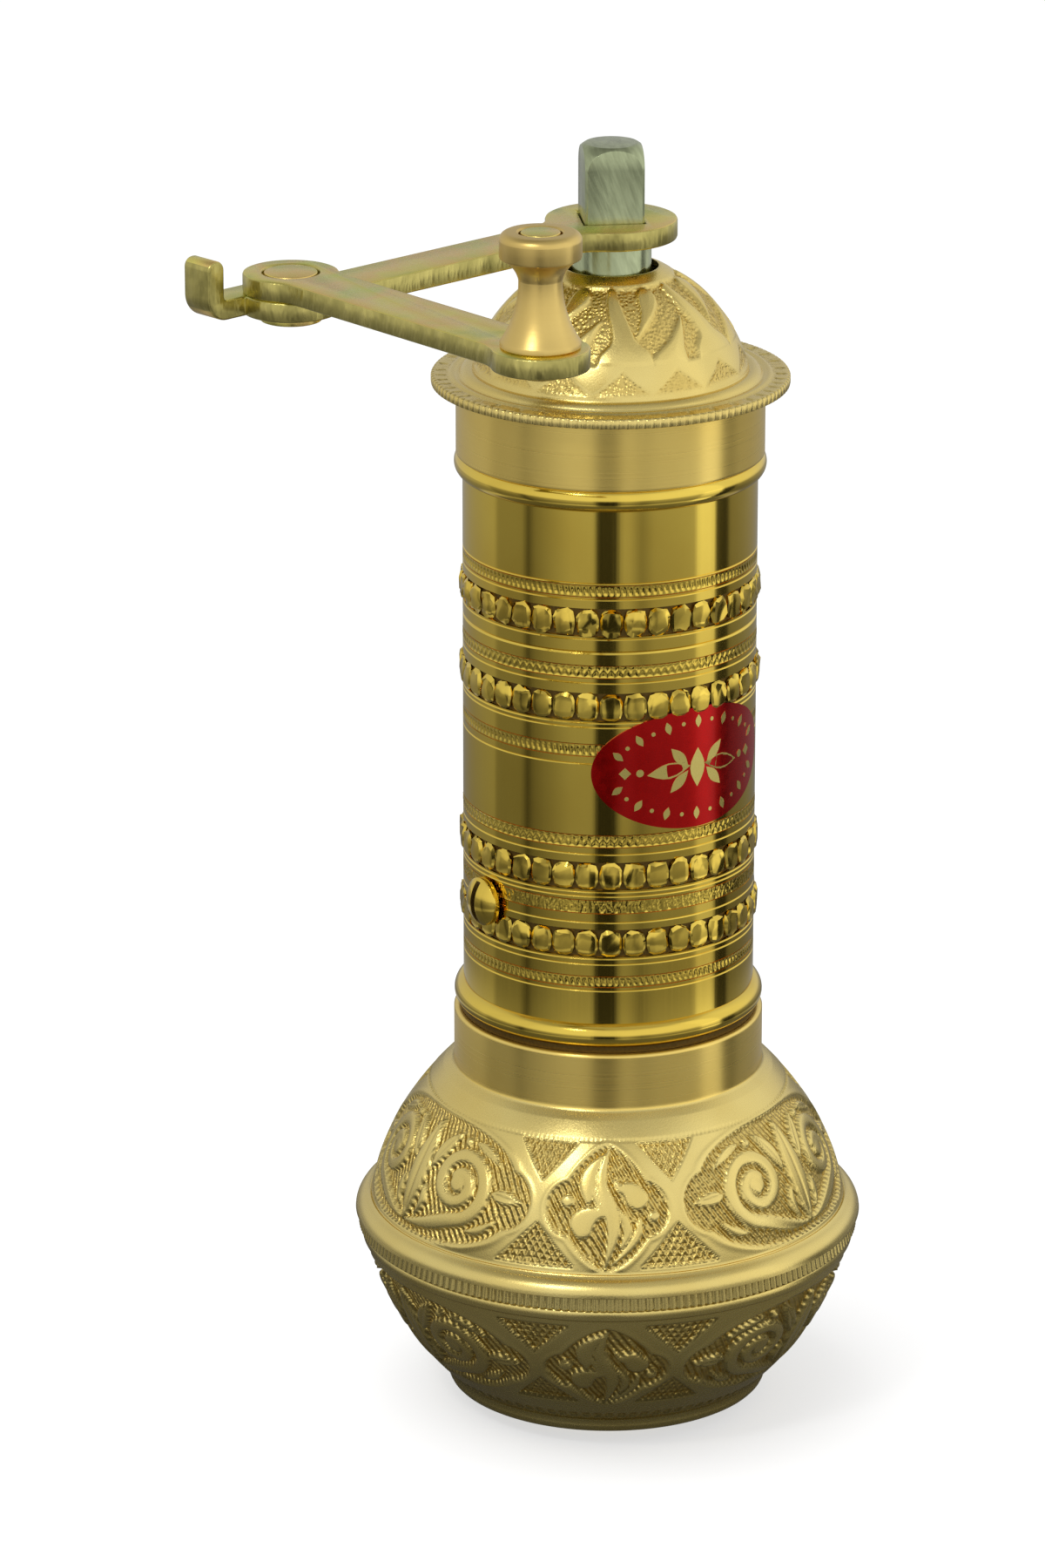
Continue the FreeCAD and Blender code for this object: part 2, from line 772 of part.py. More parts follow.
def make_shaft():
    rod_top = crank_seat + s.square_length
    journal_r = s.journal_diameter / 2
    pivot_r = s.pivot_diameter / 2
    shaft = turned("shaft", [
        (0, pivot_base),
        (pivot_r, pivot_base),
        (pivot_r, cone_base),
        (journal_r, cone_base),
        (journal_r, ring_top),
        (rod_r, ring_top),
        (rod_r, rod_top - s.rod_end_height, s.rod_end_roll),
        (s.rod_end_diameter / 2, rod_top),
        (0, rod_top),
    ])
    flats = sketch_on(shaft, "XY_Plane", "Flats", offset=crank_seat)
    circle(flats, rod_r + s.cut_margin)
    square(flats, s.square_size / 2, s.square_size / 2)
    pocket(shaft, flats, s.square_length + s.cut_margin, upwards=True)
    drill_for_burr_pin(shaft)
    stand(shaft, azimuth=s.square_azimuth)
    return shaft


def drill_for_burr_pin(body):
    hole = sketch_on(body, "YZ_Plane", "PinHole")
    circle(hole, s.pin_diameter / 2 + s.press_gap, 0, ring_top - s.pin_drop)
    pocket(body, hole)


def make_inner_burr():
    cone_r = s.cone_diameter / 2
    bore = s.journal_diameter / 2 + s.press_gap
    burr = turned("inner_burr", [
        (bore, cone_base),
        (cone_r, cone_base),
        (cone_r, cone_base + s.cone_edge),
        (s.cone_top_diameter / 2, ring_top),
        (bore, ring_top),
    ])
    root_r = cone_r - s.cone_tooth_depth
    half = s.cone_tooth_width / 2
    notch = sketch_on(burr, "XY_Plane", "Tooth", offset=cone_base)
    outline(notch, [(root_r, 0), (cone_r + s.cut_margin, -half), (cone_r + s.cut_margin, half)])
    repeat_round(burr, pocket(burr, notch, s.burr_ring_height, upwards=True), s.cone_tooth_count)
    flute_r = s.flute_depth_diameter / 2
    half = s.flute_width / 2
    slot = sketch_on(burr, "XY_Plane", "Flute", offset=cone_base + s.flute_up)
    outline(slot, [(flute_r, -half), (cone_r, -half), (cone_r, half), (flute_r, half)])
    repeat_round(burr, pocket(burr, slot, s.burr_ring_height, upwards=True), s.flute_count)
    drill_for_burr_pin(burr)
    stand(burr, azimuth=s.square_azimuth)
    return burr


def make_burr_pin():
    burr_pin = doc.addObject("Part::Cylinder", "burr_pin")
    burr_pin.Label = "burr_pin"
    bind(burr_pin, "Radius", s.pin_diameter / 2)
    bind(burr_pin, "Height", s.pin_length)
    half = s.pin_length / 2
    azimuth = math.radians(s.square_azimuth.value)
    along = FreeCAD.Vector(math.cos(azimuth), math.sin(azimuth), 0)
    lying = FreeCAD.Rotation(FreeCAD.Vector(0, 0, 1), along)
    burr_pin.Placement = FreeCAD.Placement(FreeCAD.Vector(), lying)
    bind(burr_pin, "Placement.Base.x", -half * cosine(s.square_azimuth))
    bind(burr_pin, "Placement.Base.y", -half * sine(s.square_azimuth))
    bind(burr_pin, "Placement.Base.z", ring_top - s.pin_drop)
    return burr_pin


def make_outer_burr():
    throat_r = s.ring_throat_diameter / 2
    ring = turned("outer_burr", [
        (s.ring_outlet_diameter / 2, ring_base),
        (ring_r, ring_base),
        (ring_r, ring_top),
        (s.ring_mouth_diameter / 2, ring_top),
        (throat_r, ring_base + s.ring_throat_up),
    ])
    half = s.ring_tooth_width / 2
    notch = sketch_on(ring, "XY_Plane", "Tooth", offset=ring_base)
    mouth = throat_r - s.cut_margin
    outline(notch, [(mouth, -half), (s.ring_tooth_diameter / 2, 0), (mouth, half)])
    repeat_round(ring, pocket(ring, notch, s.burr_ring_height, upwards=True), s.ring_tooth_count)
    hole_r = s.under_screw_diameter / 2 + s.press_gap
    holes = sketch_on(ring, "XY_Plane", "ScrewHoles", offset=ring_base)
    circle(holes, hole_r, 0, s.under_screw_circle / 2)
    circle(holes, hole_r, 0, -s.under_screw_circle / 2)
    pocket(ring, holes, s.under_screw_depth + s.screw_hole_gap, upwards=True)
    stand(ring, azimuth=s.bridge_azimuth)
    return ring


def bar_across(body, name, base, half_wide, reach):
    """The outline of a bar across the tube, with ends rounded to its bore."""
    side = root(reach * reach - half_wide * half_wide)
    sketch = sketch_on(body, "XY_Plane", name, offset=base)
    outline(sketch, [
        (-side, -half_wide),
        (side, -half_wide, reach),
        (side, half_wide),
        (-side, half_wide, reach),
    ])
    return sketch


def make_upper_bridge():
    bridge = new_body("upper_bridge")
    pad(bridge, bar_across(bridge, "Bar", bridge_base, s.bridge_width / 2, ring_r), s.bridge_height)
    hub = sketch_on(bridge, "XY_Plane", "Hub", offset=bridge_base)
    circle(hub, s.bridge_hub_diameter / 2)
    pad(bridge, hub, s.bridge_height)
    doc.recompute()
    bore = sketch_on(bridge, "XY_Plane", "Bore", offset=bridge_base)
    circle(bore, s.bush_diameter / 2)
    pocket(bridge, bore, s.bridge_height, upwards=True)
    holes = sketch_on(bridge, "YZ_Plane", "ScrewHoles")
    circle(holes, s.side_screw_diameter / 2 + s.screw_gap, 0, bridge_middle)
    pocket(bridge, holes)
    stand(bridge, azimuth=s.bridge_azimuth)
    return bridge


def make_bush():
    bore = rod_r + s.running_fit
    outside = s.bush_diameter / 2 - s.press_gap
    flange_r = s.bridge_hub_diameter / 2
    return turned("guide_bush", [
        (bore, bridge_base),
        (outside, bridge_base),
        (outside, bridge_top),
        (flange_r, bridge_top),
        (flange_r, bridge_top + s.bush_flange),
        (bore, bridge_top + s.bush_flange),
    ])


def make_bridge_screws():
    """Round-headed slotted screws, turned up on end and then laid through the tube's side."""
    shank_r = s.side_screw_diameter / 2
    head_r = s.side_screw_head_diameter / 2
    head_seat = tube_r + s.pearl_proud
    crown = head_seat + s.side_screw_head_height
    screw = turned("BridgeScrew", [
        (0, head_seat - s.side_screw_reach),
        (shank_r, head_seat - s.side_screw_reach),
        (shank_r, head_seat),
        (head_r, head_seat),
        (head_r, head_seat + s.side_screw_head_edge, s.side_screw_head_curve),
        (0, crown),
    ])
    slot = sketch_on(screw, "XY_Plane", "Slot", offset=crown)
    square(slot, head_r + s.cut_margin, s.side_screw_slot_width / 2)
    pocket(screw, slot, s.side_screw_slot_depth)
    azimuth = math.radians(s.bridge_azimuth.value)
    along = FreeCAD.Vector(math.cos(azimuth), math.sin(azimuth), 0)
    slot_turn = FreeCAD.Rotation(FreeCAD.Vector(0, 0, 1), s.bridge_azimuth.value)
    laid = FreeCAD.Rotation(FreeCAD.Vector(0, 0, 1), -along) * slot_turn
    screw.Placement = FreeCAD.Placement(FreeCAD.Vector(0, 0, bridge_middle.value), laid)
    bind(screw, "Placement.Base.z", bridge_middle)
    return mirrored_pair("bridge_screws", screw, along)


def make_lower_bridge():
    bridge = new_body("lower_bridge")
    bar = bar_across(bridge, "Bar", under_base, s.under_bridge_width / 2, ring_r)
    pad(bridge, bar, s.under_bridge_thickness)
    boss = sketch_on(bridge, "XY_Plane", "Boss", offset=boss_base)
    circle(boss, s.under_boss_diameter / 2)
    pad(bridge, boss, s.under_boss_drop + s.under_bridge_thickness)
    doc.recompute()
    bore = sketch_on(bridge, "XY_Plane", "Bore", offset=boss_base)
    circle(bore, s.adjuster_diameter / 2 + s.running_fit)
    pocket(bridge, bore, s.under_boss_drop + s.under_bridge_thickness, upwards=True)
    holes = sketch_on(bridge, "XY_Plane", "ScrewHoles", offset=under_base)
    for side in (s.under_screw_circle / 2, -s.under_screw_circle / 2):
        circle(holes, s.under_screw_diameter / 2 + s.screw_gap, side, 0)
    pocket(bridge, holes, s.under_bridge_thickness, upwards=True)
    stand(bridge, azimuth=under_azimuth)
    return bridge


def make_lower_bridge_screws():
    shank_r = s.under_screw_diameter / 2
    head_r = s.under_screw_head_diameter / 2
    head_base = under_base - s.under_screw_head_height
    screw = turned("UnderScrew", [
        (0, head_base),
        (head_r, head_base),
        (head_r, under_base),
        (shank_r, under_base),
        (shank_r, ring_base + s.under_screw_depth),
        (0, ring_base + s.under_screw_depth),
    ])
    slot = sketch_on(screw, "XY_Plane", "Slot", offset=head_base)
    square(slot, head_r + s.cut_margin, s.side_screw_slot_width / 2)
    pocket(screw, slot, s.side_screw_slot_depth, upwards=True)
    circle_r = s.under_screw_circle / 2
    across = circle_r * cosine(under_azimuth)
    along = circle_r * sine(under_azimuth)
    stand(screw, azimuth=under_azimuth, across=across, along=along)
    normal = FreeCAD.Vector(cosine(under_azimuth).value, sine(under_azimuth).value, 0)
    return mirrored_pair("lower_bridge_screws", screw, normal)


def make_adjusting_screw():
    thread_r = s.adjuster_diameter / 2
    head_r = s.adjuster_head_diameter / 2
    tip_r = s.adjuster_tip_diameter / 2
    head_base = adjuster_base - s.adjuster_head_height
    screw = turned("adjusting_screw", [
        (0, head_base),
        (head_r, head_base),
        (head_r, adjuster_base),
        (thread_r, adjuster_base),
        (thread_r, adjuster_top),
        (tip_r, adjuster_top),
        (tip_r, pivot_base),
        (0, pivot_base),
    ])
    slot = sketch_on(screw, "XY_Plane", "Slot", offset=head_base)
    square(slot, head_r + s.cut_margin, s.adjuster_slot_width / 2)
    pocket(screw, slot, s.adjuster_slot_depth, upwards=True)
    return screw


def make_lock_nut():
    nut = new_body("lock_nut")
    flat = s.nut_size / 2
    corner = flat / cosine(s.nut_half_angle)
    sketch = sketch_on(nut, "XY_Plane", "Hexagon", offset=boss_base - s.nut_height)
    outline(sketch, [
        (corner, 0),
        (corner / 2, flat),
        (-corner / 2, flat),
        (-corner, 0),
        (-corner / 2, -flat),
        (corner / 2, -flat),
    ])
    pad(nut, sketch, s.nut_height)
    doc.recompute()
    bore = sketch_on(nut, "XY_Plane", "Bore", offset=boss_base - s.nut_height)
    circle(bore, s.adjuster_diameter / 2 + s.running_fit)
    pocket(nut, bore, s.nut_height, upwards=True)
    return nut


def arm_blank(label, near_r, far_r, waist, length):
    """A flat stamped arm: a round end at the origin, a waist, and a round end at its length."""
    arm = new_body(label)
    half = waist / 2
    near = root(near_r * near_r - half * half)
    far = length - root(far_r * far_r - half * half)
    sketch = sketch_on(arm, "XY_Plane", "Blank")
    outline(sketch, [
        (near, -half),
        (far, -half, far_r),
        (length + far_r, 0, far_r),
        (far, half),
        (near, half, near_r),
        (-near_r, 0, near_r),
    ])
    blank = pad(arm, sketch, s.arm_thickness)
    doc.recompute()
    ease = arm.newObject("PartDesign::Fillet", "WaistFillets")
    corners = [(x.value, side * half.value) for x in (near, far) for side in (-1, 1)]
    ease.Base = (blank, upright_edges(blank.Shape, corners))
    ease.Radius = s.waist_fillet.value
    bind(ease, "Radius", s.waist_fillet)
    doc.recompute()
    return arm


def upright_edges(shape, places):
    """Names of the upright edges that stand at the given places."""
    names = []
    for number, edge in enumerate(shape.Edges, start=1):
        middle = edge.CenterOfMass
        upright = abs(edge.BoundBox.ZLength - edge.Length) < 1e-6
        if upright and any(math.hypot(middle.x - x, middle.y - y) < 1e-3 for x, y in places):
            names.append(f"Edge{number}")
    return names


def make_inner_arm():
    length = s.inner_arm_length
    arm = arm_blank("crank_inner_arm", s.hub_diameter / 2, s.elbow_diameter / 2, s.inner_waist, length)
    reach = length + s.finger_reach
    inside = reach - s.arm_thickness
    inner_bend = s.tab_bend - s.arm_thickness
    finger = sketch_on(arm, "XZ_Plane", "Finger", offset=s.finger_near_side)
    outline(finger, [
        (length, 0),
        (reach - s.tab_bend, 0, s.tab_bend),
        (reach, s.tab_bend),
        (reach, s.tab_height - s.tab_tip_round, s.tab_tip_round),
        (reach - s.tab_tip_round, s.tab_height),
        (inside + s.tab_tip_round, s.tab_height, s.tab_tip_round),
        (inside, s.tab_height - s.tab_tip_round),
        (inside, s.arm_thickness + inner_bend, -inner_bend),
        (inside - inner_bend, s.arm_thickness),
        (length, s.arm_thickness),
    ])
    pad(arm, finger, s.finger_width)
    doc.recompute()
    turn = s.square_azimuth - s.inner_arm_azimuth
    hub = sketch_on(arm, "XY_Plane", "SquareHole", turn=turn)
    half = s.square_size / 2 + s.square_gap
    square(hub, half, half)
    pocket(arm, hub, s.arm_thickness, upwards=True)
    eye = sketch_on(arm, "XY_Plane", "RivetHole")
    circle(eye, rivet_r + s.press_gap, length, 0)
    pocket(arm, eye, s.arm_thickness, upwards=True)
    stand(arm, up=crank_seat, azimuth=s.inner_arm_azimuth)
    return arm


elbow_x = s.inner_arm_length * cosine(s.inner_arm_azimuth)
elbow_y = s.inner_arm_length * sine(s.inner_arm_azimuth)
knob_x = elbow_x + s.outer_arm_length * cosine(s.outer_arm_azimuth)
knob_y = elbow_y + s.outer_arm_length * sine(s.outer_arm_azimuth)


def make_outer_arm():
    length = s.outer_arm_length
    arm = arm_blank("crank_outer_arm", s.elbow_diameter / 2, s.knob_end_diameter / 2, s.outer_waist, length)
    eye = sketch_on(arm, "XY_Plane", "RivetHole")
    circle(eye, rivet_r + s.running_fit)
    pocket(arm, eye, s.arm_thickness, upwards=True)
    recess = sketch_on(arm, "XY_Plane", "RivetRecess", offset=s.arm_thickness)
    circle(recess, s.rivet_head_diameter / 2 + s.rivet_head_gap)
    pocket(arm, recess, s.rivet_head_height + s.running_fit)
    end = sketch_on(arm, "XY_Plane", "PinHole")
    circle(end, knob_pin_r + s.press_gap, length, 0)
    pocket(arm, end, s.arm_thickness, upwards=True)
    stand(arm, up=outer_arm_base, azimuth=s.outer_arm_azimuth, across=elbow_x, along=elbow_y)
    return arm


def make_elbow_rivet():
    head_r = s.rivet_head_diameter / 2
    foot_r = s.rivet_foot_diameter / 2
    head_base = knob_base - s.rivet_head_height
    rivet = turned("elbow_rivet", [
        (0, crank_seat - s.rivet_foot_height),
        (foot_r, crank_seat - s.rivet_foot_height),
        (foot_r, crank_seat),
        (rivet_r, crank_seat),
        (rivet_r, head_base),
        (head_r, head_base),
        (head_r, knob_base),
        (0, knob_base),
    ])
    stand(rivet, across=elbow_x, along=elbow_y)
    return rivet


def make_knob():
    base_r = s.knob_base_diameter / 2
    neck_r = s.knob_neck_diameter / 2
    head_r = s.knob_head_diameter / 2
    bore = knob_pin_r + s.running_fit
    recess_r = s.knob_pin_head_diameter / 2 + s.rivet_head_gap
    recess_base = knob_top - s.knob_pin_head_height - s.knob_pin_end_gap
    head_base = knob_top - s.knob_head_height
    knob = turned("knob", [
        (bore, knob_base),
        (base_r, knob_base),
        (base_r, knob_base + s.knob_base_edge, -s.knob_waist_curve),
        (neck_r, knob_base + s.knob_neck_up, -s.knob_head_curve),
        (head_r, head_base),
        (head_r, knob_top - s.knob_head_round, s.knob_head_round),
        (head_r - s.knob_head_round, knob_top),
        (recess_r, knob_top),
        (recess_r, recess_base),
        (bore, recess_base),
    ])
    stand(knob, across=knob_x, along=knob_y)
    return knob


def make_knob_pin():
    foot_r = s.knob_pin_foot_diameter / 2
    head_r = s.knob_pin_head_diameter / 2
    foot_base = outer_arm_base - s.knob_pin_foot_height
    head_base = knob_top - s.knob_pin_head_height
    knob_pin = turned("knob_pin", [
        (0, foot_base),
        (foot_r, foot_base),
        (foot_r, outer_arm_base),
        (knob_pin_r, outer_arm_base),
        (knob_pin_r, head_base),
        (head_r, head_base),
        (head_r, knob_top),
        (0, knob_top),
    ])
    stand(knob_pin, across=knob_x, along=knob_y)
    return knob_pin


nodes = [
    make_bowl(),
    make_shoulder(),
    make_tube(),
    make_label(),
    make_lid(),
    make_shaft(),
    make_inner_burr(),
    make_burr_pin(),
    make_outer_burr(),
    make_upper_bridge(),
    make_bush(),
    make_bridge_screws(),
    make_lower_bridge(),
    make_lower_bridge_screws(),
    make_adjusting_screw(),
    make_lock_nut(),
    make_inner_arm(),
    make_outer_arm(),
    make_elbow_rivet(),
    make_knob(),
    make_knob_pin(),
]
doc.recompute()

for item in doc.Objects:
    if "Invalid" in item.State or "Error" in item.State:
        raise RuntimeError(f"{item.Name} failed: {item.State}")
for node in nodes:
    if node.Shape.isNull() or not node.Shape.isValid():
        raise RuntimeError(f"{node.Label} has no valid shape")

os.makedirs("parts", exist_ok=True)
for node in nodes:
    node.Shape.exportStep(f"parts/{node.Label}.step")
    print(f"{node.Label}: {node.Shape.Volume:.0f} cubic mm in {len(node.Shape.Solids)} solid(s)")
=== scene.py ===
# %% [markdown]
# # A brass hand coffee mill
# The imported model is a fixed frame. Every solid already stands where it belongs, in metres, with the foot at
# the origin and the front towards -Y. This lesson dresses those solids piece by piece, then lights them.

# %% Load the frame
import math

import bmesh
import bpy
import numpy as np
from mathutils import Matrix, Vector


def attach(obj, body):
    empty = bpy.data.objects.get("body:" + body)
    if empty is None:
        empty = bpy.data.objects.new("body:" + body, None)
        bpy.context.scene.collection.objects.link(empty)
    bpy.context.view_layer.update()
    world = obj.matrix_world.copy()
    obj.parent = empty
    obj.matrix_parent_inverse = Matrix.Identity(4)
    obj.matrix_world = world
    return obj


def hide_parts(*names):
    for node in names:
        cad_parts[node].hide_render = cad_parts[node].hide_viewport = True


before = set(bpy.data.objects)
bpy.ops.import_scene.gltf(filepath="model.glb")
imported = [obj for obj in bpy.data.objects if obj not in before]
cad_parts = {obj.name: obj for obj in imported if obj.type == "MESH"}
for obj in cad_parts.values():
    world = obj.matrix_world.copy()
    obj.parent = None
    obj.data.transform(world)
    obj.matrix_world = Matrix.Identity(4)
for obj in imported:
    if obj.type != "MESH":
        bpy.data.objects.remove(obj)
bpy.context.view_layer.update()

MM = 0.001
scene = bpy.context.scene
scene.view_settings.view_transform = "Standard"

# %% [markdown]
# ## Writing node trees
# A finish is a tree of nodes, and wiring one by hand takes many lines. One helper that adds a node, sets its
# options and fills its inputs keeps each finish short enough to read. An input takes a number, a colour, or
# another node's output.

# %% Helpers for node trees
def place(tree, kind, inputs=None, **options):
    """Add a node; each input takes a value or the output of another node."""
    node = tree.nodes.new(kind)
    for name, value in options.items():
        setattr(node, name, value)
    for name, value in (inputs or {}).items():
        if isinstance(value, bpy.types.NodeSocket):
            tree.links.new(value, node.inputs[name])
        else:
            node.inputs[name].default_value = value
    return node


def calc(tree, operation, *values, clamp=False):
    """A Math node's output."""
    node = place(tree, "ShaderNodeMath", dict(enumerate(values)), operation=operation, use_clamp=clamp)
    return node.outputs[0]


print("node helpers: place, calc")


# %% Helpers for colours, ranges and noise
def shades(tree, share, first, second, blend="MIX"):
    """A colour Mix node's output: its colour sockets are the ones numbered 6 and 7."""
    sockets = {0: share, 6: first, 7: second}
    return place(tree, "ShaderNodeMix", sockets, data_type="RGBA", blend_type=blend).outputs[2]


def spread(tree, value, low, high, start=0.0, end=1.0):
    """Stretch a value that runs from start to end over the range from low to high."""
    sockets = {"Value": value, "From Min": start, "From Max": end, "To Min": low, "To Max": high}
    return place(tree, "ShaderNodeMapRange", sockets).outputs[0]


def noise(tree, point, scale, detail, **more):
    """A Noise Texture's value at a point."""
    sockets = {"Vector": point, "Scale": scale, "Detail": detail, **more}
    return place(tree, "ShaderNodeTexNoise", sockets).outputs["Fac"]


def times(tree, point, scales):
    """A point whose three coordinates are multiplied by three scales."""
    return place(tree, "ShaderNodeVectorMath", {0: point, 1: scales}, operation="MULTIPLY").outputs[0]


def ramp_of(tree, value, stops):
    """A Color Ramp's output, through stops of a position and a colour, which may be over 1."""
    node = place(tree, "ShaderNodeValToRGB", {"Fac": value})
    elements = node.color_ramp.elements
    elements.remove(elements[1])
    elements[0].position, elements[0].color = stops[0]
    for position, colour in stops[1:]:
        elements.new(position).color = colour
    return node.outputs["Color"]


print("node helpers: shades, spread, noise, times, ramp_of")


# %% Helper for node groups
def new_group(name, inputs, outputs):
    """A node group with number sockets, and the sockets of its two end nodes."""
    group = bpy.data.node_groups.new(name, "ShaderNodeTree")
    for label, value in inputs.items():
        group.interface.new_socket(label, in_out="INPUT", socket_type="NodeSocketFloat").default_value = value
    for label in outputs:
        group.interface.new_socket(label, in_out="OUTPUT", socket_type="NodeSocketFloat")
    return group, place(group, "NodeGroupInput").outputs, place(group, "NodeGroupOutput").inputs


print("node helpers: new_group")

# %% [markdown]
# ## Four shared effects
# Every metal here carries marks of how it was made. A lathe leaves fine rings, drawing a tube leaves fine
# upright lines, and a mould leaves grain. The first two are one effect: noise that is stretched along one
# direction by scaling the coordinates it reads. The grain is noise at two sizes, and the punched ground of
# the dome is a cell pattern. The ground of the cup is hatched with a graver: sine waves of the angle round the
# axis and of the height, one way for a comb and both ways for a grid, bent a little by noise. Each effect is
# a node group, so that all finishes share it.

# %% Node groups: stretched marks, grain, punch marks and hatching
def object_point(tree):
    return place(tree, "ShaderNodeTexCoord").outputs["Object"]


marks, given, out = new_group("tool_marks", {"Across": 1.0, "Up": 1.0}, ["Marks"])
stretch = place(marks, "ShaderNodeCombineXYZ", {0: given["Across"], 1: given["Across"], 2: given["Up"]})
scaled = times(marks, object_point(marks), stretch.outputs[0])
marks.links.new(noise(marks, scaled, 1.0, 3.0, Roughness=0.6), out["Marks"])

grain, given, out = new_group("metal_grain", {"Size": 3000.0}, ["Grain", "Mottle"])
grain.links.new(noise(grain, object_point(grain), given["Size"], 2.0), out["Grain"])
broad = noise(grain, object_point(grain), 70.0, 4.0)
grain.links.new(spread(grain, broad, -0.6, 1.6), out["Mottle"])

punch, given, out = new_group("punch_marks", {"Size": 1500.0}, ["Dents"])
cells = place(punch, "ShaderNodeTexVoronoi", {"Vector": object_point(punch), "Scale": given["Size"]})
punch.links.new(calc(punch, "MULTIPLY", cells.outputs["Distance"], 1.5, clamp=True), out["Dents"])

hatching, given, out = new_group("hatch_lines", {"Round": 190.0, "Rise": 3700.0}, ["Comb", "Grid"])
spot = place(hatching, "ShaderNodeSeparateXYZ", {0: object_point(hatching)}).outputs
angle = calc(hatching, "ARCTAN2", spot["X"], calc(hatching, "MULTIPLY", spot["Y"], -1.0))
drift = spread(hatching, noise(hatching, object_point(hatching), 150.0, 1.0), -3.0, 3.0)
lean = calc(hatching, "MULTIPLY_ADD", spot["Z"], given["Rise"], drift)
round_by = calc(hatching, "MULTIPLY", angle, given["Round"])
one_way = calc(hatching, "SINE", calc(hatching, "ADD", round_by, lean))
other_way = calc(hatching, "SINE", calc(hatching, "SUBTRACT", round_by, lean))
crossing = calc(hatching, "MAXIMUM", one_way, other_way)
for wave, label in ((one_way, "Comb"), (crossing, "Grid")):
    hatching.links.new(calc(hatching, "MULTIPLY_ADD", wave, 0.5, 0.5), out[label])
print("node groups:", ", ".join(group.name for group in bpy.data.node_groups))


# %% [markdown]
# ## A metal to start from
# Each finish starts from the same shader: a Principled BSDF with Metallic at 1, whose base colour is the
# colour of its reflections. The finish then wires colour, roughness and bump into it.

# %% Helper for a metal finish
def metal(name, **constants):
    """A new metal: its node tree, its shader and a function that places a shared effect."""
    material = bpy.data.materials.new(name)
    material.use_nodes = True
    tree = material.node_tree
    shader = tree.nodes["Principled BSDF"]
    shader.inputs["Metallic"].default_value = 1.0
    for socket, value in constants.items():
        shader.inputs[socket.replace("_", " ").title()].default_value = value

    def effect(group, output, **values):
        node = place(tree, "ShaderNodeGroup", node_tree=group)
        for socket, value in values.items():
            node.inputs[socket].default_value = value
        return node.outputs[output]

    def wear(**sockets):
        for socket, value in sockets.items():
            tree.links.new(value, shader.inputs[socket.replace("_", " ").title()])
        print("finish:", name)
        return material

    return tree, effect, wear


def bumped(tree, height, depth, strength=1.0, under=None):
    """A Bump node's normal, for a height from 0 to 1 that stands for a depth in millimetres."""
    inputs = {"Height": height, "Distance": depth * MM, "Strength": strength}
    if under:
        inputs["Normal"] = under
    return place(tree, "ShaderNodeBump", inputs).outputs[0]


# %% [markdown]
# ## Polished brass for the tube
# The tube is drawn and then polished, so it mirrors the room in crisp upright bands, with faint upright lines
# and a little unevenness in its colour. Low roughness does most of it. The drawing lines get a shallow bump,
# because a deeper one would blur the mirror.

# %% Finish: polished brass
tree, effect, wear = metal("polished_brass")
drawn = effect(marks, "Marks", Across=2600.0, Up=18.0)
mottle = effect(grain, "Mottle", Size=2500.0)
polished_brass = wear(
    base_color=shades(tree, mottle, (0.86, 0.64, 0.11, 1), (0.78, 0.55, 0.085, 1)),
    roughness=spread(tree, drawn, 0.05, 0.17),
    normal=bumped(tree, drawn, 0.006, 0.5),
)

# %% [markdown]
# ## Grime and painted shade in the channels
# No cloth reaches the bottom of a channel or a screw's slot, and brass goes brown there. A dark, rough metal
# stands for it, and it also paints the shade that falls in the channels, in the slots and in the gap under the
# lower bead.

# %% Finish: grimy brass with painted shade
tree, effect, wear = metal("grime_and_shade_brass")
skin = effect(grain, "Grain", Size=2500.0)
grime_and_shade_brass = wear(
    base_color=shades(tree, skin, (0.22, 0.14, 0.035, 1), (0.10, 0.06, 0.018, 1)),
    roughness=spread(tree, skin, 0.40, 0.60),
)

# %% [markdown]
# ## Turned brass for the skirt and the collar
# These are left from the lathe with fine rings round the axis. Rings scatter light up and down but not
# sideways, so a constant amount of anisotropy, turned a quarter, is added to the bump of the rings.

# %% Finish: turned brass
tree, effect, wear = metal("turned_brass", anisotropic=0.7, anisotropic_rotation=0.25)
rings = effect(marks, "Marks", Across=7.0, Up=4600.0)
mottle = effect(grain, "Mottle", Size=2500.0)
turned_brass = wear(
    base_color=shades(tree, mottle, (0.98, 0.74, 0.21, 1), (0.92, 0.67, 0.17, 1)),
    roughness=spread(tree, rings, 0.20, 0.40),
    normal=bumped(tree, rings, 0.02, 0.45),
)

# %% [markdown]
# ## Satin brass for the knob
# The knob comes from the lathe too, but hands have rubbed it to an even sheen. It keeps the rings as a bump and
# has no anisotropy.

# %% Finish: satin brass
tree, effect, wear = metal("satin_brass")
rings = effect(marks, "Marks", Across=40.0, Up=3600.0)
mottle = effect(grain, "Mottle", Size=2500.0)
satin_brass = wear(
    base_color=shades(tree, mottle, (0.77, 0.57, 0.19, 1), (0.71, 0.51, 0.16, 1)),
    roughness=spread(tree, rings, 0.28, 0.44),
    normal=bumped(tree, rings, 0.02, 0.4),
)

# %% [markdown]
# ## Cast brass for the lid, the shoulder and the bowl
# A casting has a dull, finely grained skin. The ground of the ornament is beaten with a punch, and stays
# rougher than the smooth raised parts; its colour is also painted darker, for the shade in the hollows together
# with their dirt. The meshes carry an attribute called ground, which is 1 there, and two more for the hatched
# parts of it, so one finish serves all.

# %% Finish: cast brass
tree, effect, wear = metal("cast_brass")


def mask(name):
    """A mesh attribute's value."""
    return place(tree, "ShaderNodeAttribute", attribute_name=name).outputs["Fac"]


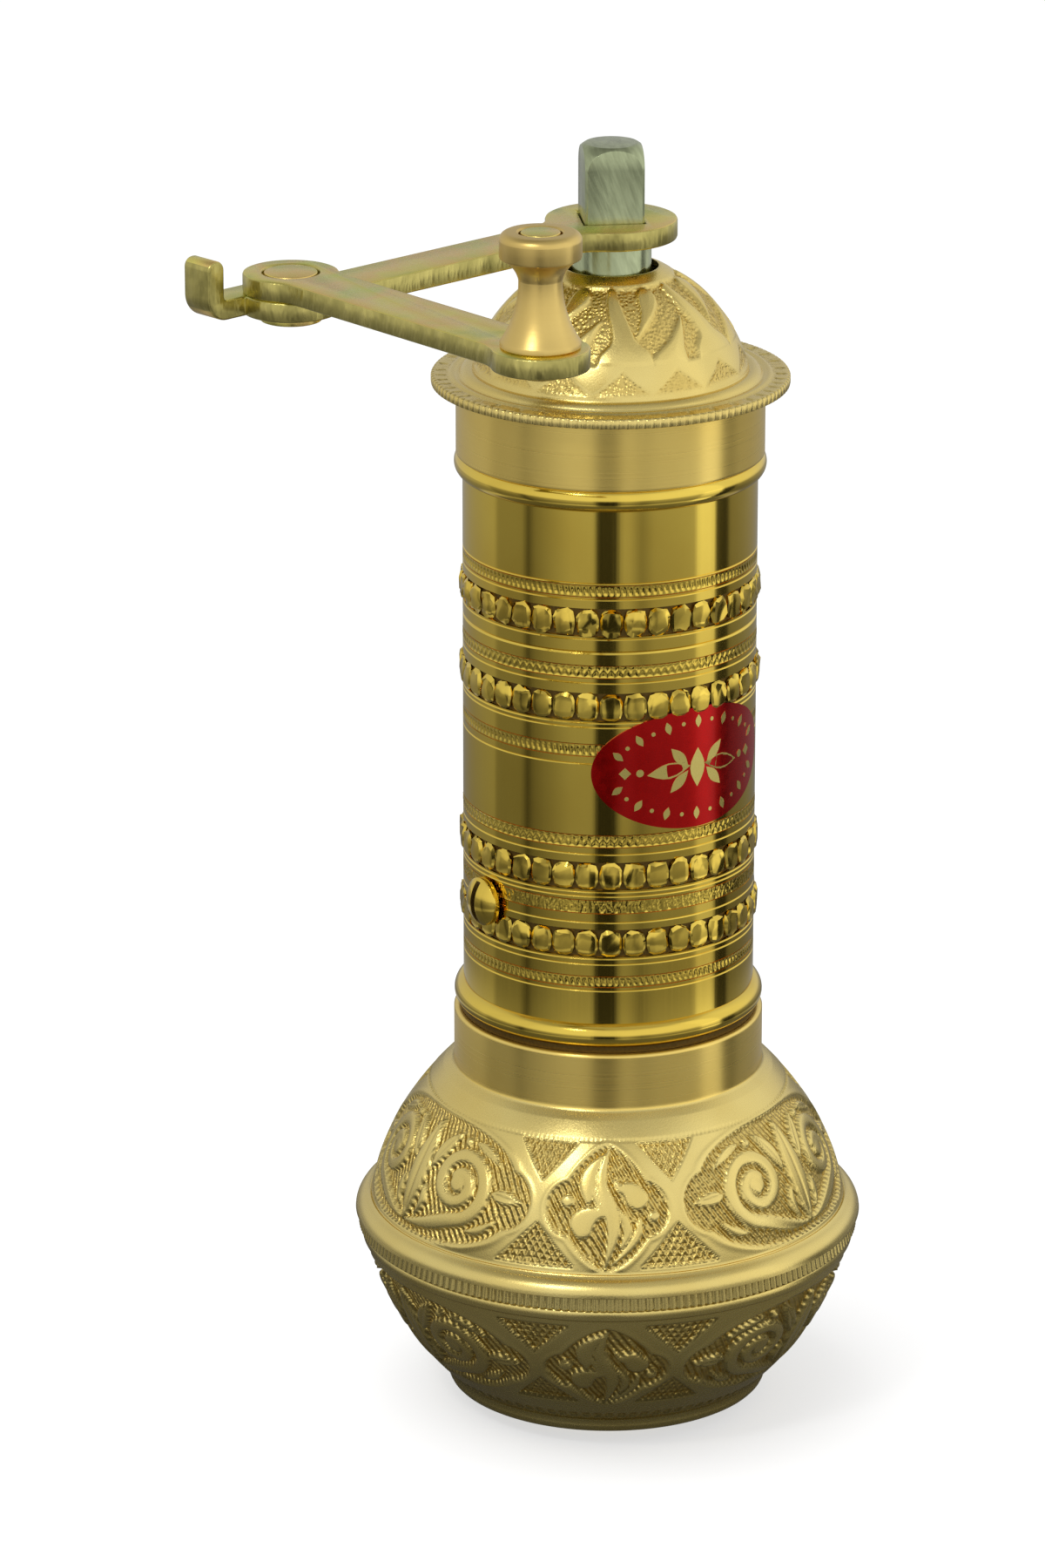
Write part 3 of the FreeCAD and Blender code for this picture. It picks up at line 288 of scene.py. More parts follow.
ground = mask("ground")
skin = effect(grain, "Grain", Size=3600.0)
mottle = effect(grain, "Mottle", Size=3600.0)
raised = shades(tree, mottle, (0.84, 0.68, 0.25, 1), (0.78, 0.60, 0.19, 1))
punched = calc(tree, "MULTIPLY", effect(punch, "Dents", Size=1700.0), ground)
combed = calc(tree, "MULTIPLY", effect(hatching, "Comb"), mask("combed"))
crossed = calc(tree, "MULTIPLY", effect(hatching, "Grid"), mask("crossed"))
skin_normal = bumped(tree, skin, 0.03, 0.45)
ground_normal = bumped(tree, punched, 0.18, 0.7, under=skin_normal)
cast_brass = wear(
    # the ground's darker colour is painted shade in the hollows, together with their dirt
    base_color=shades(tree, calc(tree, "MULTIPLY", ground, 0.55), raised, (0.66, 0.47, 0.12, 1)),
    roughness=calc(tree, "ADD", spread(tree, skin, 0.20, 0.35), calc(tree, "MULTIPLY", ground, 0.05)),
    normal=bumped(tree, calc(tree, "ADD", combed, crossed), 0.26, 1.0, under=ground_normal),
)

# %% [markdown]
# ## Yellow zinc plate for the crank
# The stamped steel arms are zinc plated and then passivated, which leaves thin films that shine olive, rose
# and green. The film's colour changes over a few millimetres, so broad noise runs through a colour ramp.

# %% Finish: zinc plate
tree, effect, wear = metal("zinc_plate")
film = noise(tree, object_point(tree), 85.0, 3.0)
olive, straw = (0.56, 0.58, 0.16, 1), (0.80, 0.69, 0.17, 1)
rose, green = (0.84, 0.60, 0.20, 1), (0.65, 0.66, 0.15, 1)
skin = effect(grain, "Grain", Size=2600.0)
zinc_plate = wear(
    base_color=ramp_of(tree, film, [(0.30, olive), (0.43, straw), (0.54, rose), (0.68, green)]),
    roughness=spread(tree, skin, 0.16, 0.46),
    normal=bumped(tree, skin, 0.02, 0.5),
)

# %% [markdown]
# ## The sheared sides of the crank
# A stamped arm is smooth on its flat faces, and torn where the die sheared it. The same plate lies over
# upright tears there, which are the stretched marks again, with a deep bump.

# %% Finish: sheared sides
tree, effect, wear = metal("sheared_plate")
torn = effect(marks, "Marks", Across=360.0, Up=110.0)
sheared_plate = wear(
    base_color=shades(tree, torn, (0.14, 0.13, 0.03, 1), (0.86, 0.74, 0.24, 1)),
    roughness=spread(tree, torn, 0.42, 0.20),
    normal=bumped(tree, torn, 0.5, 0.7),
)

# %% [markdown]
# ## Bright steel, burr iron and their marks
# The shaft is cold grey steel with slanting file marks on its flats. The burrs are plain dark iron, a little
# oily, and mostly show their grain.

# %% Finishes: bright steel and burr iron
tree, effect, wear = metal("bright_steel")
FILE_LEAN, FILE_MARKS = (0.3, 0.35, 0.0), (1500.0, 600.0, 130.0)
leaned = place(tree, "ShaderNodeMapping", {"Vector": object_point(tree), "Rotation": FILE_LEAN}).outputs[0]
filed = noise(tree, times(tree, leaned, FILE_MARKS), 1.0, 2.0)
skin = effect(grain, "Grain", Size=2200.0)
bright_steel = wear(
    base_color=shades(tree, filed, (0.24, 0.27, 0.15, 1), (0.56, 0.62, 0.37, 1)),
    roughness=spread(tree, skin, 0.12, 0.30),
    normal=bumped(tree, filed, 0.03, 0.5),
)

tree, effect, wear = metal("burr_iron")
skin = effect(grain, "Grain", Size=1500.0)
mottle = effect(grain, "Mottle", Size=1500.0)
burr_iron = wear(
    base_color=shades(tree, mottle, (0.30, 0.29, 0.28, 1), (0.20, 0.18, 0.16, 1)),
    roughness=spread(tree, skin, 0.30, 0.55),
    normal=bumped(tree, skin, 0.04, 0.6),
)

# %% [markdown]
# ## Red foil and its gold print
# The label is metal foil with a red lacquer, so it mirrors the room in red under a clear coat. Its gold
# ornament is bare foil of another colour, which is a metal too.

# %% Finishes: red foil and gold print
tree, effect, wear = metal("red_foil", coat_weight=0.25, coat_roughness=0.12)
skin = effect(grain, "Grain", Size=900.0)
mottle = effect(grain, "Mottle", Size=900.0)
red_foil = wear(
    base_color=shades(tree, mottle, (0.74, 0.010, 0.008, 1), (0.60, 0.006, 0.005, 1)),
    roughness=spread(tree, skin, 0.20, 0.34),
    normal=bumped(tree, mottle, 0.02, 0.25),
)

tree, effect, wear = metal("gold_print")
skin = effect(grain, "Grain", Size=2500.0)
gold_print = wear(
    base_color=shades(tree, skin, (0.90, 0.76, 0.24, 1), (0.82, 0.66, 0.18, 1)),
    roughness=spread(tree, skin, 0.22, 0.38),
)

# %% [markdown]
# ## Turning a piece on the lathe
# The tube, the lid, the cup and the knob are all turned shapes. Blender's lathe is the spin operator: it takes
# a line of points beside the axis and sweeps it round. The line is written in millimetres as radius and
# height, and a round stretch is given by its two ends and its radius, as on a drawing. A spin with hundreds of
# steps is slow, so one sector is spun, and a second spin that makes copies sets twelve of them round the axis.

# %% Round stretches
def bow_centre(start, end, radius):
    """Centre of a round stretch that swells outwards on its way up, or is hollow below zero."""
    (r0, z0), (r1, z1) = (start, end) if radius > 0 else (end, start)
    half = math.hypot(r1 - r0, z1 - z0) / 2
    sink = math.sqrt(radius * radius - half * half) / (2 * half)
    return (r0 + r1) / 2 - (z1 - z0) * sink, (z0 + z1) / 2 + (r1 - r0) * sink


def bow(start, end, radius, count):
    """Points along a round stretch from start to end."""
    r, z = bow_centre(start, end, radius)
    first = math.atan2(start[1] - z, start[0] - r)
    last = math.atan2(end[1] - z, end[0] - r)
    if radius < 0 and abs(last - first) > math.pi:
        first, last = first % math.tau, last % math.tau
    size = abs(radius)
    return [(r + size * math.cos(t), z + size * math.sin(t)) for t in np.linspace(first, last, count)]


print("centre of a quarter round:", [round(value, 3) for value in bow_centre((1, 0), (0, 1), 1.0)])

# %% Lathe
SECTORS = 12


def turn(line, steps, closed=True):
    """Spin a line of (radius, height) points into one sector, then set copies of it round the axis."""
    bm = bmesh.new()
    points = [bm.verts.new((r * MM, 0, z * MM)) for r, z in line]
    pairs = list(zip(points, points[1:])) + ([(points[-1], points[0])] if closed else [])
    edges = [bm.edges.new(pair) for pair in pairs]
    sector = math.tau / SECTORS
    bmesh.ops.spin(bm, geom=points + edges, axis=(0, 0, 1), angle=sector, steps=steps // SECTORS)
    one = bm.verts[:] + bm.edges[:] + bm.faces[:]
    bmesh.ops.spin(bm, geom=one, axis=(0, 0, 1), angle=math.tau - sector, steps=SECTORS - 1,
                   use_duplicate=True)
    bmesh.ops.remove_doubles(bm, verts=bm.verts, dist=1e-7)
    bmesh.ops.recalc_face_normals(bm, faces=bm.faces)
    return bm


print("lathe:", SECTORS, "sectors to a turn")


# %% [markdown]
# ## From a mesh to a piece
# A bmesh is only a workbench. Its result goes into a mesh with its finishes, and the mesh into an object in the
# scene. A piece is then smoothed, except along its creases, and set on the body of the frame that carries it.

# %% Helpers for pieces
def add_to(bm, other):
    """Move the geometry of one bmesh into another."""
    part = bpy.data.meshes.new("part")
    other.to_mesh(part)
    other.free()
    bm.from_mesh(part)
    bpy.data.meshes.remove(part)


def mesh_of(name, bm, finishes):
    """A mesh from a bmesh, with its finishes."""
    mesh = bpy.data.meshes.new(name)
    bm.to_mesh(mesh)
    bm.free()
    for finish in finishes:
        mesh.materials.append(finish)
    return mesh


def in_scene(name, data):
    """A new object in the scene."""
    item = bpy.data.objects.new(name, data)
    scene.collection.objects.link(item)
    return item


def finished(name, bm, finishes, body, stands_for=(), crease=35):
    """Make the object, smooth it up to a crease angle, and set it on its body."""
    mesh = mesh_of(name, bm, finishes)
    mesh.shade_smooth()
    mesh.set_sharp_from_angle(angle=math.radians(crease))
    piece = in_scene(name, mesh)
    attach(piece, body)
    if stands_for:
        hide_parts(*stands_for)
    print(f"{name}: {len(mesh.polygons)} faces on {body}")
    return piece


print("piece helpers: add_to, mesh_of, in_scene, finished")

# %% [markdown]
# ## Moving points after the lathe
# Carving and knurling are made by moving the points of a finely divided turned piece. The points are read
# into one array, with the angle round the axis from the front, so a whole pattern is one sum.

# %% Helpers for moving points
def read_points(mesh):
    """The mesh's points in millimetres, with their angle from the front in degrees and their radius."""
    flat = np.empty(len(mesh.vertices) * 3)
    mesh.vertices.foreach_get("co", flat)
    points = flat.reshape(-1, 3) / MM
    angle = np.degrees(np.arctan2(points[:, 0], -points[:, 1]))
    return points, angle, np.hypot(points[:, 0], points[:, 1])


def write_points(mesh, points):
    mesh.vertices.foreach_set("co", (points * MM).ravel())
    mesh.update()


def push(points, angle, radius_by, height_by):
    """Move points away from the axis and upwards, in millimetres."""
    points[:, 0] += np.sin(np.radians(angle)) * radius_by
    points[:, 1] -= np.cos(np.radians(angle)) * radius_by
    points[:, 2] += height_by


def finish_faces(mesh, chosen):
    """Give the faces whose middle passes the test the second finish; the test gets radius and height."""
    middles = np.empty(len(mesh.polygons) * 3)
    mesh.polygons.foreach_get("center", middles)
    middles = middles.reshape(-1, 3) / MM
    second = chosen(np.hypot(middles[:, 0], middles[:, 1]), middles[:, 2])
    mesh.polygons.foreach_set("material_index", second.astype(np.int32))


print("point helpers: read_points, write_points, push, finish_faces")

# %% [markdown]
# ## The tube
# The tube is one turned piece with a rolled bead at each end. Its lines are small grooves, and the rows of
# pearls and the milled strips lie in shallow channels. Writing the channels and grooves as a list of heights
# lets one loop build the whole outline.

# %% Tube
TUBE_R = 22.5
TUBE_STEPS = 264
pearl_rows = [(80.4, 84.6), (91.2, 95.4), (118.1, 122.3), (131.4, 135.6)]
strips = [(75.5, 77.1), (87.4, 89.4), (98.0, 99.8), (112.5, 114.3), (124.9, 126.7), (137.6, 139.3)]
fine_lines = [74.8, 79.1, 80.0, 85.85, 90.05, 90.75, 96.8, 111.2, 117.0, 117.7, 124.0, 130.9, 137.1, 139.6]
broad_lines = [128.8]

cuts = [(z - 0.15, z + 0.15, 0.12, "groove") for z in fine_lines]
cuts += [(z - 0.28, z + 0.28, 0.2, "groove") for z in broad_lines]
cuts += [(low - 0.12, high + 0.12, 0.3, "channel") for low, high in pearl_rows + strips]

line = [(21.0, 55.5), (22.2, 55.5), (22.5, 55.8), (22.5, 64.9), (22.9, 64.9), (23.0, 65.0)]
line += bow((23.0, 65.9), (TUBE_R, 69.5), 2.0, 16)
for low, high, depth, kind in sorted(cuts):
    middle = [(TUBE_R - depth, (low + high) / 2)]
    if kind == "channel":
        middle = [(TUBE_R - depth, low + 0.08), (TUBE_R - depth, high - 0.08)]
    line += [(TUBE_R, low), *middle, (TUBE_R, high)]
line += bow((TUBE_R, 150.8), (23.2, 154.1), 2.0, 16)
line += [(22.5, 154.1), (22.5, 163.7), (22.2, 164.0), (21.3, 164.0), (21.0, 163.7)]
tube = finished("mill_tube", turn(line, TUBE_STEPS), [polished_brass, grime_and_shade_brass], "mill",
                ["main_tube"], crease=22)


def in_grime_and_shade(r, z):
    """Faces painted dark: the channel floors, for their grime and shade, and the step under the lower bead, for
    its shadow.
    """
    channel = (r < TUBE_R - 0.2) & (r > TUBE_R - 0.4) & (z > 74) & (z < 140)
    return channel | ((r > TUBE_R) & (z > 64.8) & (z < 66.0))


# The dark finish paints shade and grime into the channels, and a shadow into the gap under the lower bead.
finish_faces(tube.data, in_grime_and_shade)

# %% [markdown]
# ## The rows of pearls
# Each row is a ring of flat-faced bosses, rolled into the tube. One boss is a divided cube whose points are
# drawn in to a rounded block, and a spin that makes copies instead of a surface sets the rest round the tube.
# Small random moves crumple their upper halves, as rolled work is; the random numbers are seeded, so every run
# gives the same.

# %% Pearls
PEARLS_ROUND = 39
FIRST_PEARL = 0.8
PEARL_POWER, PEARL_HALF, PEARL_HIGH = 2.8, 1.78, 0.58
around = {"cent": (0, 0, 0), "axis": (0, 0, 1), "angle": math.tau * (PEARLS_ROUND - 1) / PEARLS_ROUND}
bm = bmesh.new()
for low, high in pearl_rows:
    row = bmesh.new()
    bmesh.ops.create_cube(row, size=2.0)
    bmesh.ops.subdivide_edges(row, edges=row.edges, cuts=2, use_grid_fill=True)
    tall = (high - low) / 2
    for vert in row.verts:
        across, up, out = vert.co / sum(abs(part) ** PEARL_POWER for part in vert.co) ** (1 / PEARL_POWER)
        vert.co = (across * PEARL_HALF * MM, -(TUBE_R + out * PEARL_HIGH) * MM,
                   ((low + high) / 2 + up * tall) * MM)
    bmesh.ops.rotate(row, verts=row.verts, matrix=Matrix.Rotation(math.radians(FIRST_PEARL), 3, "Z"))
    one = row.verts[:] + row.edges[:] + row.faces[:]
    bmesh.ops.spin(row, geom=one, steps=PEARLS_ROUND - 1, use_duplicate=True, **around)
    add_to(bm, row)
bmesh.ops.recalc_face_normals(bm, faces=bm.faces)
pearls = finished("pearl_rows", bm, [polished_brass], "mill", crease=24)

# %% Crumpled pearls
points, angle, radius = read_points(pearls.data)
chance = np.random.default_rng(39)
row_up = np.zeros(len(points))
for low, high in pearl_rows:
    inside = (points[:, 2] > low - 0.2) & (points[:, 2] < high + 0.2)
    row_up[inside] = (points[inside, 2] - low) / (high - low)
crumple = np.clip((row_up - 0.35) / 0.3, 0.12, 1) * (radius > TUBE_R + 0.1)
crumple[points[:, 2] > pearl_rows[-1][0] - 0.2] = 0.9
out_by = crumple * (chance.random(len(points)) * 0.6 - 0.45)
up_by = crumple * (chance.random(len(points)) - 0.5) * 0.6
push(points, angle, out_by, up_by)
write_points(pearls.data, points)
print("pearls crumpled:", int((crumple > 0).sum()), "points")

# %% [markdown]
# ## The milled strips
# Between the lines run narrow strips that a wheel rolled into the brass: dashes, a rope-like wave, and one
# strip of loose punch marks. Each strip is a thin turned band with enough points round it for its pattern,
# which is then pressed in by a sum over angle and height.

# %% Milled strips
STRIP_STEPS = 900
STRIP_DEPTH = 0.13
PUNCHED_STRIP = 1
DASHED_STRIPS = (0, 3, 5)
bm = bmesh.new()
for low, high in strips:
    heights = np.linspace(low, high, 8)
    band = [(TUBE_R - 0.25, low - 0.05)] + [(TUBE_R, z) for z in heights] + [(TUBE_R - 0.25, high + 0.05)]
    add_to(bm, turn(band, STRIP_STEPS))
strip_rings = finished("milled_strips", bm, [polished_brass], "mill", crease=60)

# %% Pattern of the strips
points, angle, radius = read_points(strip_rings.data)
pattern = np.zeros(len(points))
chance = np.random.default_rng(6)
for number, (low, high) in enumerate(strips):
    inside = (points[:, 2] > low + 0.05) & (points[:, 2] < high - 0.05)
    up = (points[inside, 2] - (low + high) / 2) / ((high - low) / 2)
    around = np.radians(angle[inside])
    if number == PUNCHED_STRIP:
        pressed = np.where(chance.random(inside.sum()) > 0.72, -1.0, 0.1) * (np.abs(up) < 0.8)
    elif number in DASHED_STRIPS:
        pressed = -np.clip(np.sin(150 * around + 1.6 * up) * 2, 0, 1) * (np.abs(up) < 0.7)
    else:
        pressed = np.exp(-((up - 0.42 * np.sin(120 * around)) / 0.36) ** 2) - 0.7
    pattern[inside] = pressed * STRIP_DEPTH
push(points, angle, pattern, 0)
write_points(strip_rings.data, points)
print("milled strips:", len(strips), "bands")

# %% [markdown]
# ## The foil label
# The label is an oval of thin foil wrapped round the tube, slightly tilted. It starts as a flat disc made by
# spinning a line round a point, is stretched to an oval, and is then rolled onto the tube: the distance along
# the foil becomes an angle. Its place for lettering holds a plain ornament of leaves, lozenges and dots.

# %% Foil label
LABEL_FRONT = math.radians(36.1)
LABEL_UP = 109.6
LABEL_TILT = math.radians(-0.9)
LABEL_HALF = (17.05, 9.5)
FOIL_R = TUBE_R + 0.2
FOIL_THICK, PRINT_THICK = 0.16, 0.05


def wrap_label(bm):
    """Roll a flat drawing in millimetres onto the tube at the label's place."""
    for vert in bm.verts:
        across, up, out = vert.co
        along = across * math.cos(LABEL_TILT) - up * math.sin(LABEL_TILT)
        rise = across * math.sin(LABEL_TILT) + up * math.cos(LABEL_TILT)
        turn_to = LABEL_FRONT + along / FOIL_R
        away = (FOIL_R + out) * MM
        vert.co = (math.sin(turn_to) * away, -math.cos(turn_to) * away, (LABEL_UP + rise) * MM)


bm = bmesh.new()
spoke = [bm.verts.new((share, 0, 0)) for share in np.linspace(0, 1, 14)]
edges = [bm.edges.new(pair) for pair in zip(spoke, spoke[1:])]
bmesh.ops.spin(bm, geom=spoke + edges, axis=(0, 0, 1), angle=math.tau, steps=96, use_merge=True)
bmesh.ops.remove_doubles(bm, verts=bm.verts, dist=1e-6)
bmesh.ops.scale(bm, vec=(*LABEL_HALF, 1), verts=bm.verts)
bmesh.ops.recalc_face_normals(bm, faces=bm.faces)
if bm.faces[:][0].normal.z < 0:
    bmesh.ops.reverse_faces(bm, faces=bm.faces)
bmesh.ops.solidify(bm, geom=bm.faces[:], thickness=FOIL_THICK)
wrap_label(bm)
bmesh.ops.recalc_face_normals(bm, faces=bm.faces)
finished("foil_oval", bm, [red_foil], "mill", ["foil_label"], crease=50)

# %% [markdown]
# ## The label's ornament
# The ornament is cut from thin gold shapes: a leaf is a circle that is squeezed to a point, and a lozenge is
# a circle of four corners. Rows of them follow the oval's edge above and below a larger group in the middle.

# %% Label ornament
def flat_shape(bm, corners, wide, high, at, lean=0.0, point=0.0):
    """A flat gold shape: a scaled disc, leaned, with its ends drawn out to points by a share."""
    disc = bmesh.ops.create_circle(bm, cap_ends=True, segments=corners, radius=1.0)["verts"]
    for vert in disc:
        across, up, _ = vert.co
        across *= 1 - point * up * up
        across, up = across * wide, up * high
        vert.co = (at[0] + across * math.cos(lean) - up * math.sin(lean),
                   at[1] + across * math.sin(lean) + up * math.cos(lean), 0)


bm = bmesh.new()
for side in (-1, 1):
    for step in range(-6, 7):
        lean = math.radians(step * 10.5)
        spot = (14.6 * math.sin(lean), side * (8.4 * math.cos(lean) - 1.1))
        if step % 2:
            flat_shape(bm, 12, 0.34, 0.34, spot)
        else:
            flat_shape(bm, 16, 0.55, 1.05, spot, lean=-side * lean * 0.8, point=0.85)
    flat_shape(bm, 20, 1.25, 3.6, (side * 4.9, 0), lean=math.pi / 2 - side * 0.12, point=0.8)
    flat_shape(bm, 20, 0.85, 2.2, (side * 3.2, 1.9), lean=-side * 0.75, point=0.8)
    flat_shape(bm, 20, 0.85, 2.2, (side * 3.2, -1.9), lean=side * 0.75, point=0.8)
    flat_shape(bm, 14, 0.6, 0.6, (side * 9.6, 0))
    flat_shape(bm, 4, 0.95, 0.95, (side * 11.9, 0))
flat_shape(bm, 20, 1.35, 3.1, (0, 0), point=0.8)
bmesh.ops.recalc_face_normals(bm, faces=bm.faces)
for face in bm.faces:
    if face.normal.z < 0:
        face.normal_flip()
made = bmesh.ops.extrude_face_region(bm, geom=bm.faces[:])["geom"]
lifted = [item for item in made if isinstance(item, bmesh.types.BMVert)]
bmesh.ops.translate(bm, verts=lifted, vec=(0, 0, PRINT_THICK))
wrap_label(bm)
bmesh.ops.recalc_face_normals(bm, faces=bm.faces)
finished("foil_ornament", bm, [gold_print], "mill", crease=40)

# %% [markdown]
# ## Carving with distances
# The castings carry ornament in low relief. Each outline is described by a distance: how far a point lies
# outside it, below zero inside. A distance makes soft edges easy, and the smallest of several distances joins
# shapes into one. A stroke is the distance from a smoothed line, less a half width that changes along it.

# %% Helpers for carving
def inside_of(distance, edge):
    """1 inside an outline and 0 outside it, across a soft edge."""
    t = np.clip(0.5 - distance / edge, 0, 1)
    return t * t * (3 - 2 * t)


def nearest(*distances):
    """Distance outside the nearest of several shapes."""
    return np.minimum.reduce(distances)


def stroke(x, y, points):
    """Distance outside a tapering stroke that runs by (x, y, half width) points, its corners cut round."""
    line = np.array(points, float)
    for _ in range(2):
        cut = np.stack([0.75 * line[:-1] + 0.25 * line[1:], 0.25 * line[:-1] + 0.75 * line[1:]], 1)
        line = np.concatenate([line[:1], cut.reshape(-1, 3), line[-1:]])
    best = np.full(x.shape, 99.0)
    for (x0, y0, w0), (x1, y1, w1) in zip(line, line[1:]):
        dx, dy = x1 - x0, y1 - y0
        along = np.clip(((x - x0) * dx + (y - y0) * dy) / (dx * dx + dy * dy), 0, 1)
        best = np.minimum(best, np.hypot(x - x0 - along * dx, y - y0 - along * dy) - w0 - along * (w1 - w0))
    return best


def oval(x, y, at, wide, high, power=2.0):
    """Rough distance outside an oval; a power below 2 draws its four ends out."""
    size = (np.abs((x - at[0]) / wide) ** power + np.abs((y - at[1]) / high) ** power) ** (1 / power)
    return (size - 1) * min(wide, high)


def wedge(x, y, base, tip, half):
    """Distance outside a triangle with a level base, from its base height to its tip height."""
    share = (y - base) / (tip - base)
    side = (np.abs(x) - half * (1 - share)) * 0.85
    return np.maximum(side, -share * abs(tip - base))


print("share at an outline:", inside_of(np.zeros(1), 0.5)[0])

# %% [markdown]
# ## The ornament of the cup
# Both halves of the cup share one design that repeats three times round: a small pointed cartouche with a
# leaf, a long one with an upright leaf between two scrolls, and triangles between them. The ground inside them
# is sunk and hatched, and the leaves and scrolls stay at the height of the smooth bands.

# %% Strokes of the cup's ornament
ORNAMENT_TALL = 20.5
ORNAMENT_R = 33.5
leaf_strokes = [
    [(0.2, 9.2, 0.2), (-0.9, 6.0, 0.7), (-1.1, 3.6, 0.9), (0.1, 0.6, 1.15), (1.0, -2.4, 1.1),
     (0.8, -5.0, 0.8), (-0.2, -9.0, 0.2)],
    [(-0.7, 8.2, 0.3), (-2.6, 6.2, 1.1), (-3.4, 3.8, 1.4), (-3.0, 1.0, 0.5)],
    [(-2.4, 4.4, 0.2), (-2.1, 2.4, 0.5), (-1.3, 0.4, 0.5), (-0.6, -0.6, 0.3)],
    [(-0.7, -0.9, 0.6), (-2.4, -0.9, 1.3), (-3.9, -2.2, 2.0), (-3.7, -3.4, 1.5)],
    [(1.2, 4.4, 0.2), (1.9, 2.9, 0.6), (3.6, 3.0, 1.4), (4.6, 1.4, 1.8)],
    [(1.6, -0.2, 0.3), (2.8, -2.0, 0.7), (3.1, -4.0, 0.7), (2.0, -6.2, 0.2)],
    [(4.9, -1.9, 0.3), (4.6, -4.2, 0.7), (3.0, -6.4, 0.6), (0.8, -8.6, 0.2)],
]
buds = [(-6.2, 0.9, 1.1), (7.0, -1.5, 0.9)]
SCROLL_AT = (9.6, 0.4)
scroll_turns = np.linspace(-math.pi / 2, 2.7 * math.pi, 26)
scroll_sizes = np.linspace(6.0, 1.3, 26)
scroll_widths = np.linspace(1.15, 0.9, 26)
scroll_line = [(SCROLL_AT[0] + size * math.cos(turned_by), SCROLL_AT[1] + size * math.sin(turned_by), wide)
               for turned_by, size, wide in zip(scroll_turns, scroll_sizes, scroll_widths)]
scroll_strokes = [
    [(0, -8.6, 0.1), (0, -4.5, 1.6), (0, 0, 2.2), (0, 4.5, 1.6), (0, 8.6, 0.1)],
    [(0.6, -8.3, 0.3), (3.4, -7.9, 0.8), (6.4, -6.9, 1.1)] + scroll_line,
    [(2.8, 1.2, 0.2), (3.6, 3.6, 1.2), (4.8, 5.8, 1.1), (6.4, 7.8, 0.15)],
    [(2.8, -1.8, 0.15), (3.2, -3.6, 0.8), (3.0, -5.6, 0.5), (2.2, -6.8, 0.15)],
    [(16.3, 0.2, 0.2), (18.4, 0.0, 1.4), (21.4, -0.3, 0.15)],
    [(10.6, 7.2, 0.15), (13.4, 6.7, 1.0), (16.8, 4.6, 0.15)],
    [(13.0, -6.4, 0.15), (15.2, -6.0, 0.9), (17.6, -4.0, 0.15)],
]
scroll_buds = [(9.6, 0.3, 1.5), (8.6, 7.0, 0.7)]
veins = [
    [(0, -6.8, 0), (0, 6.8, 0)],
    [(3.1, 2.4, 0), (4.2, 4.8, 0), (5.8, 7.2, 0)],
    [(17.0, 0.1, 0), (20.4, -0.2, 0)],
    [(11.6, 7.0, 0), (15.6, 5.4, 0)],
]
print("cup ornament:", len(leaf_strokes) + len(scroll_strokes), "strokes and", len(veins), "veins")

# %% Height of the cup's ornament
REPEAT = 120
GROUND_DEPTH, CORNER_DEPTH, VEIN_DEPTH = 0.62, 0.5, 0.22
CROWN_RISE, LIP_RISE = 0.10, 0.10


def cup_ornament(angle, up):
    """Height and masks of the cup's ornament, for angles in degrees and heights in 0 to ORNAMENT_TALL."""
    small_x = np.radians((angle + REPEAT / 2) % REPEAT - REPEAT / 2) * ORNAMENT_R
    long_x = np.radians(angle % REPEAT - REPEAT / 2) * ORNAMENT_R
    half_x = np.abs(long_x)
    y = up - 9.7
    cartouche = nearest(
        oval(small_x, y, (0, 0), 7.6, 9.6, 1.5), oval(np.abs(small_x), y, (5.4, -0.3), 4.0, 4.2),
        oval(long_x, y, (0, 0), 20.2, 9.7, 2.6), oval(half_x, y, (18.5, -0.3), 4.5, 4.6),
    )
    motif = nearest(
        *(stroke(small_x, y, points) for points in leaf_strokes),
        *(oval(small_x, y, (x, z), size, size, 1.6) for x, z, size in buds),
        *(stroke(half_x, y, points) for points in scroll_strokes),
        *(oval(half_x, y, (x, z), size, size, 1.8) for x, z, size in scroll_buds),
    )
    vein = nearest(*(stroke(half_x, y, points) for points in veins))
    corner_x = np.abs(small_x) - np.radians(18.0) * ORNAMENT_R
    triangles = nearest(wedge(corner_x, up, 0.5, 7.0, 5.6), wedge(corner_x, up, 19.8, 13.6, 5.2))
    corners = inside_of(np.maximum(triangles, 0.9 - cartouche), 0.45)
    sunk = inside_of(cartouche, 0.45)
    combed = sunk * (1 - inside_of(motif, 0.42))
    crown = CROWN_RISE * sunk * np.clip(-motif / 0.9, 0, 1) ** 0.7
    lip = LIP_RISE * np.exp(-((cartouche - 0.55) / 0.3) ** 2)
    height = -GROUND_DEPTH * combed - CORNER_DEPTH * corners + crown + lip
    height -= VEIN_DEPTH * np.exp(-(vein / 0.22) ** 2)
    return height, {"ground": np.maximum(combed, corners), "combed": combed, "crossed": corners}


print("cup ornament:", 360 // REPEAT, "repeats, ground", GROUND_DEPTH, "mm deep")


# %% [markdown]
# ## Pressing a design into a casting
# A design gives a height and masks for each point of a round stretch. The points move along the curve's own
# normal, so that steep and level parts are cut equally deep. The ground also gets a little roughness from
# seeded random numbers, and the masks stay on the mesh as attributes for the finish to read.

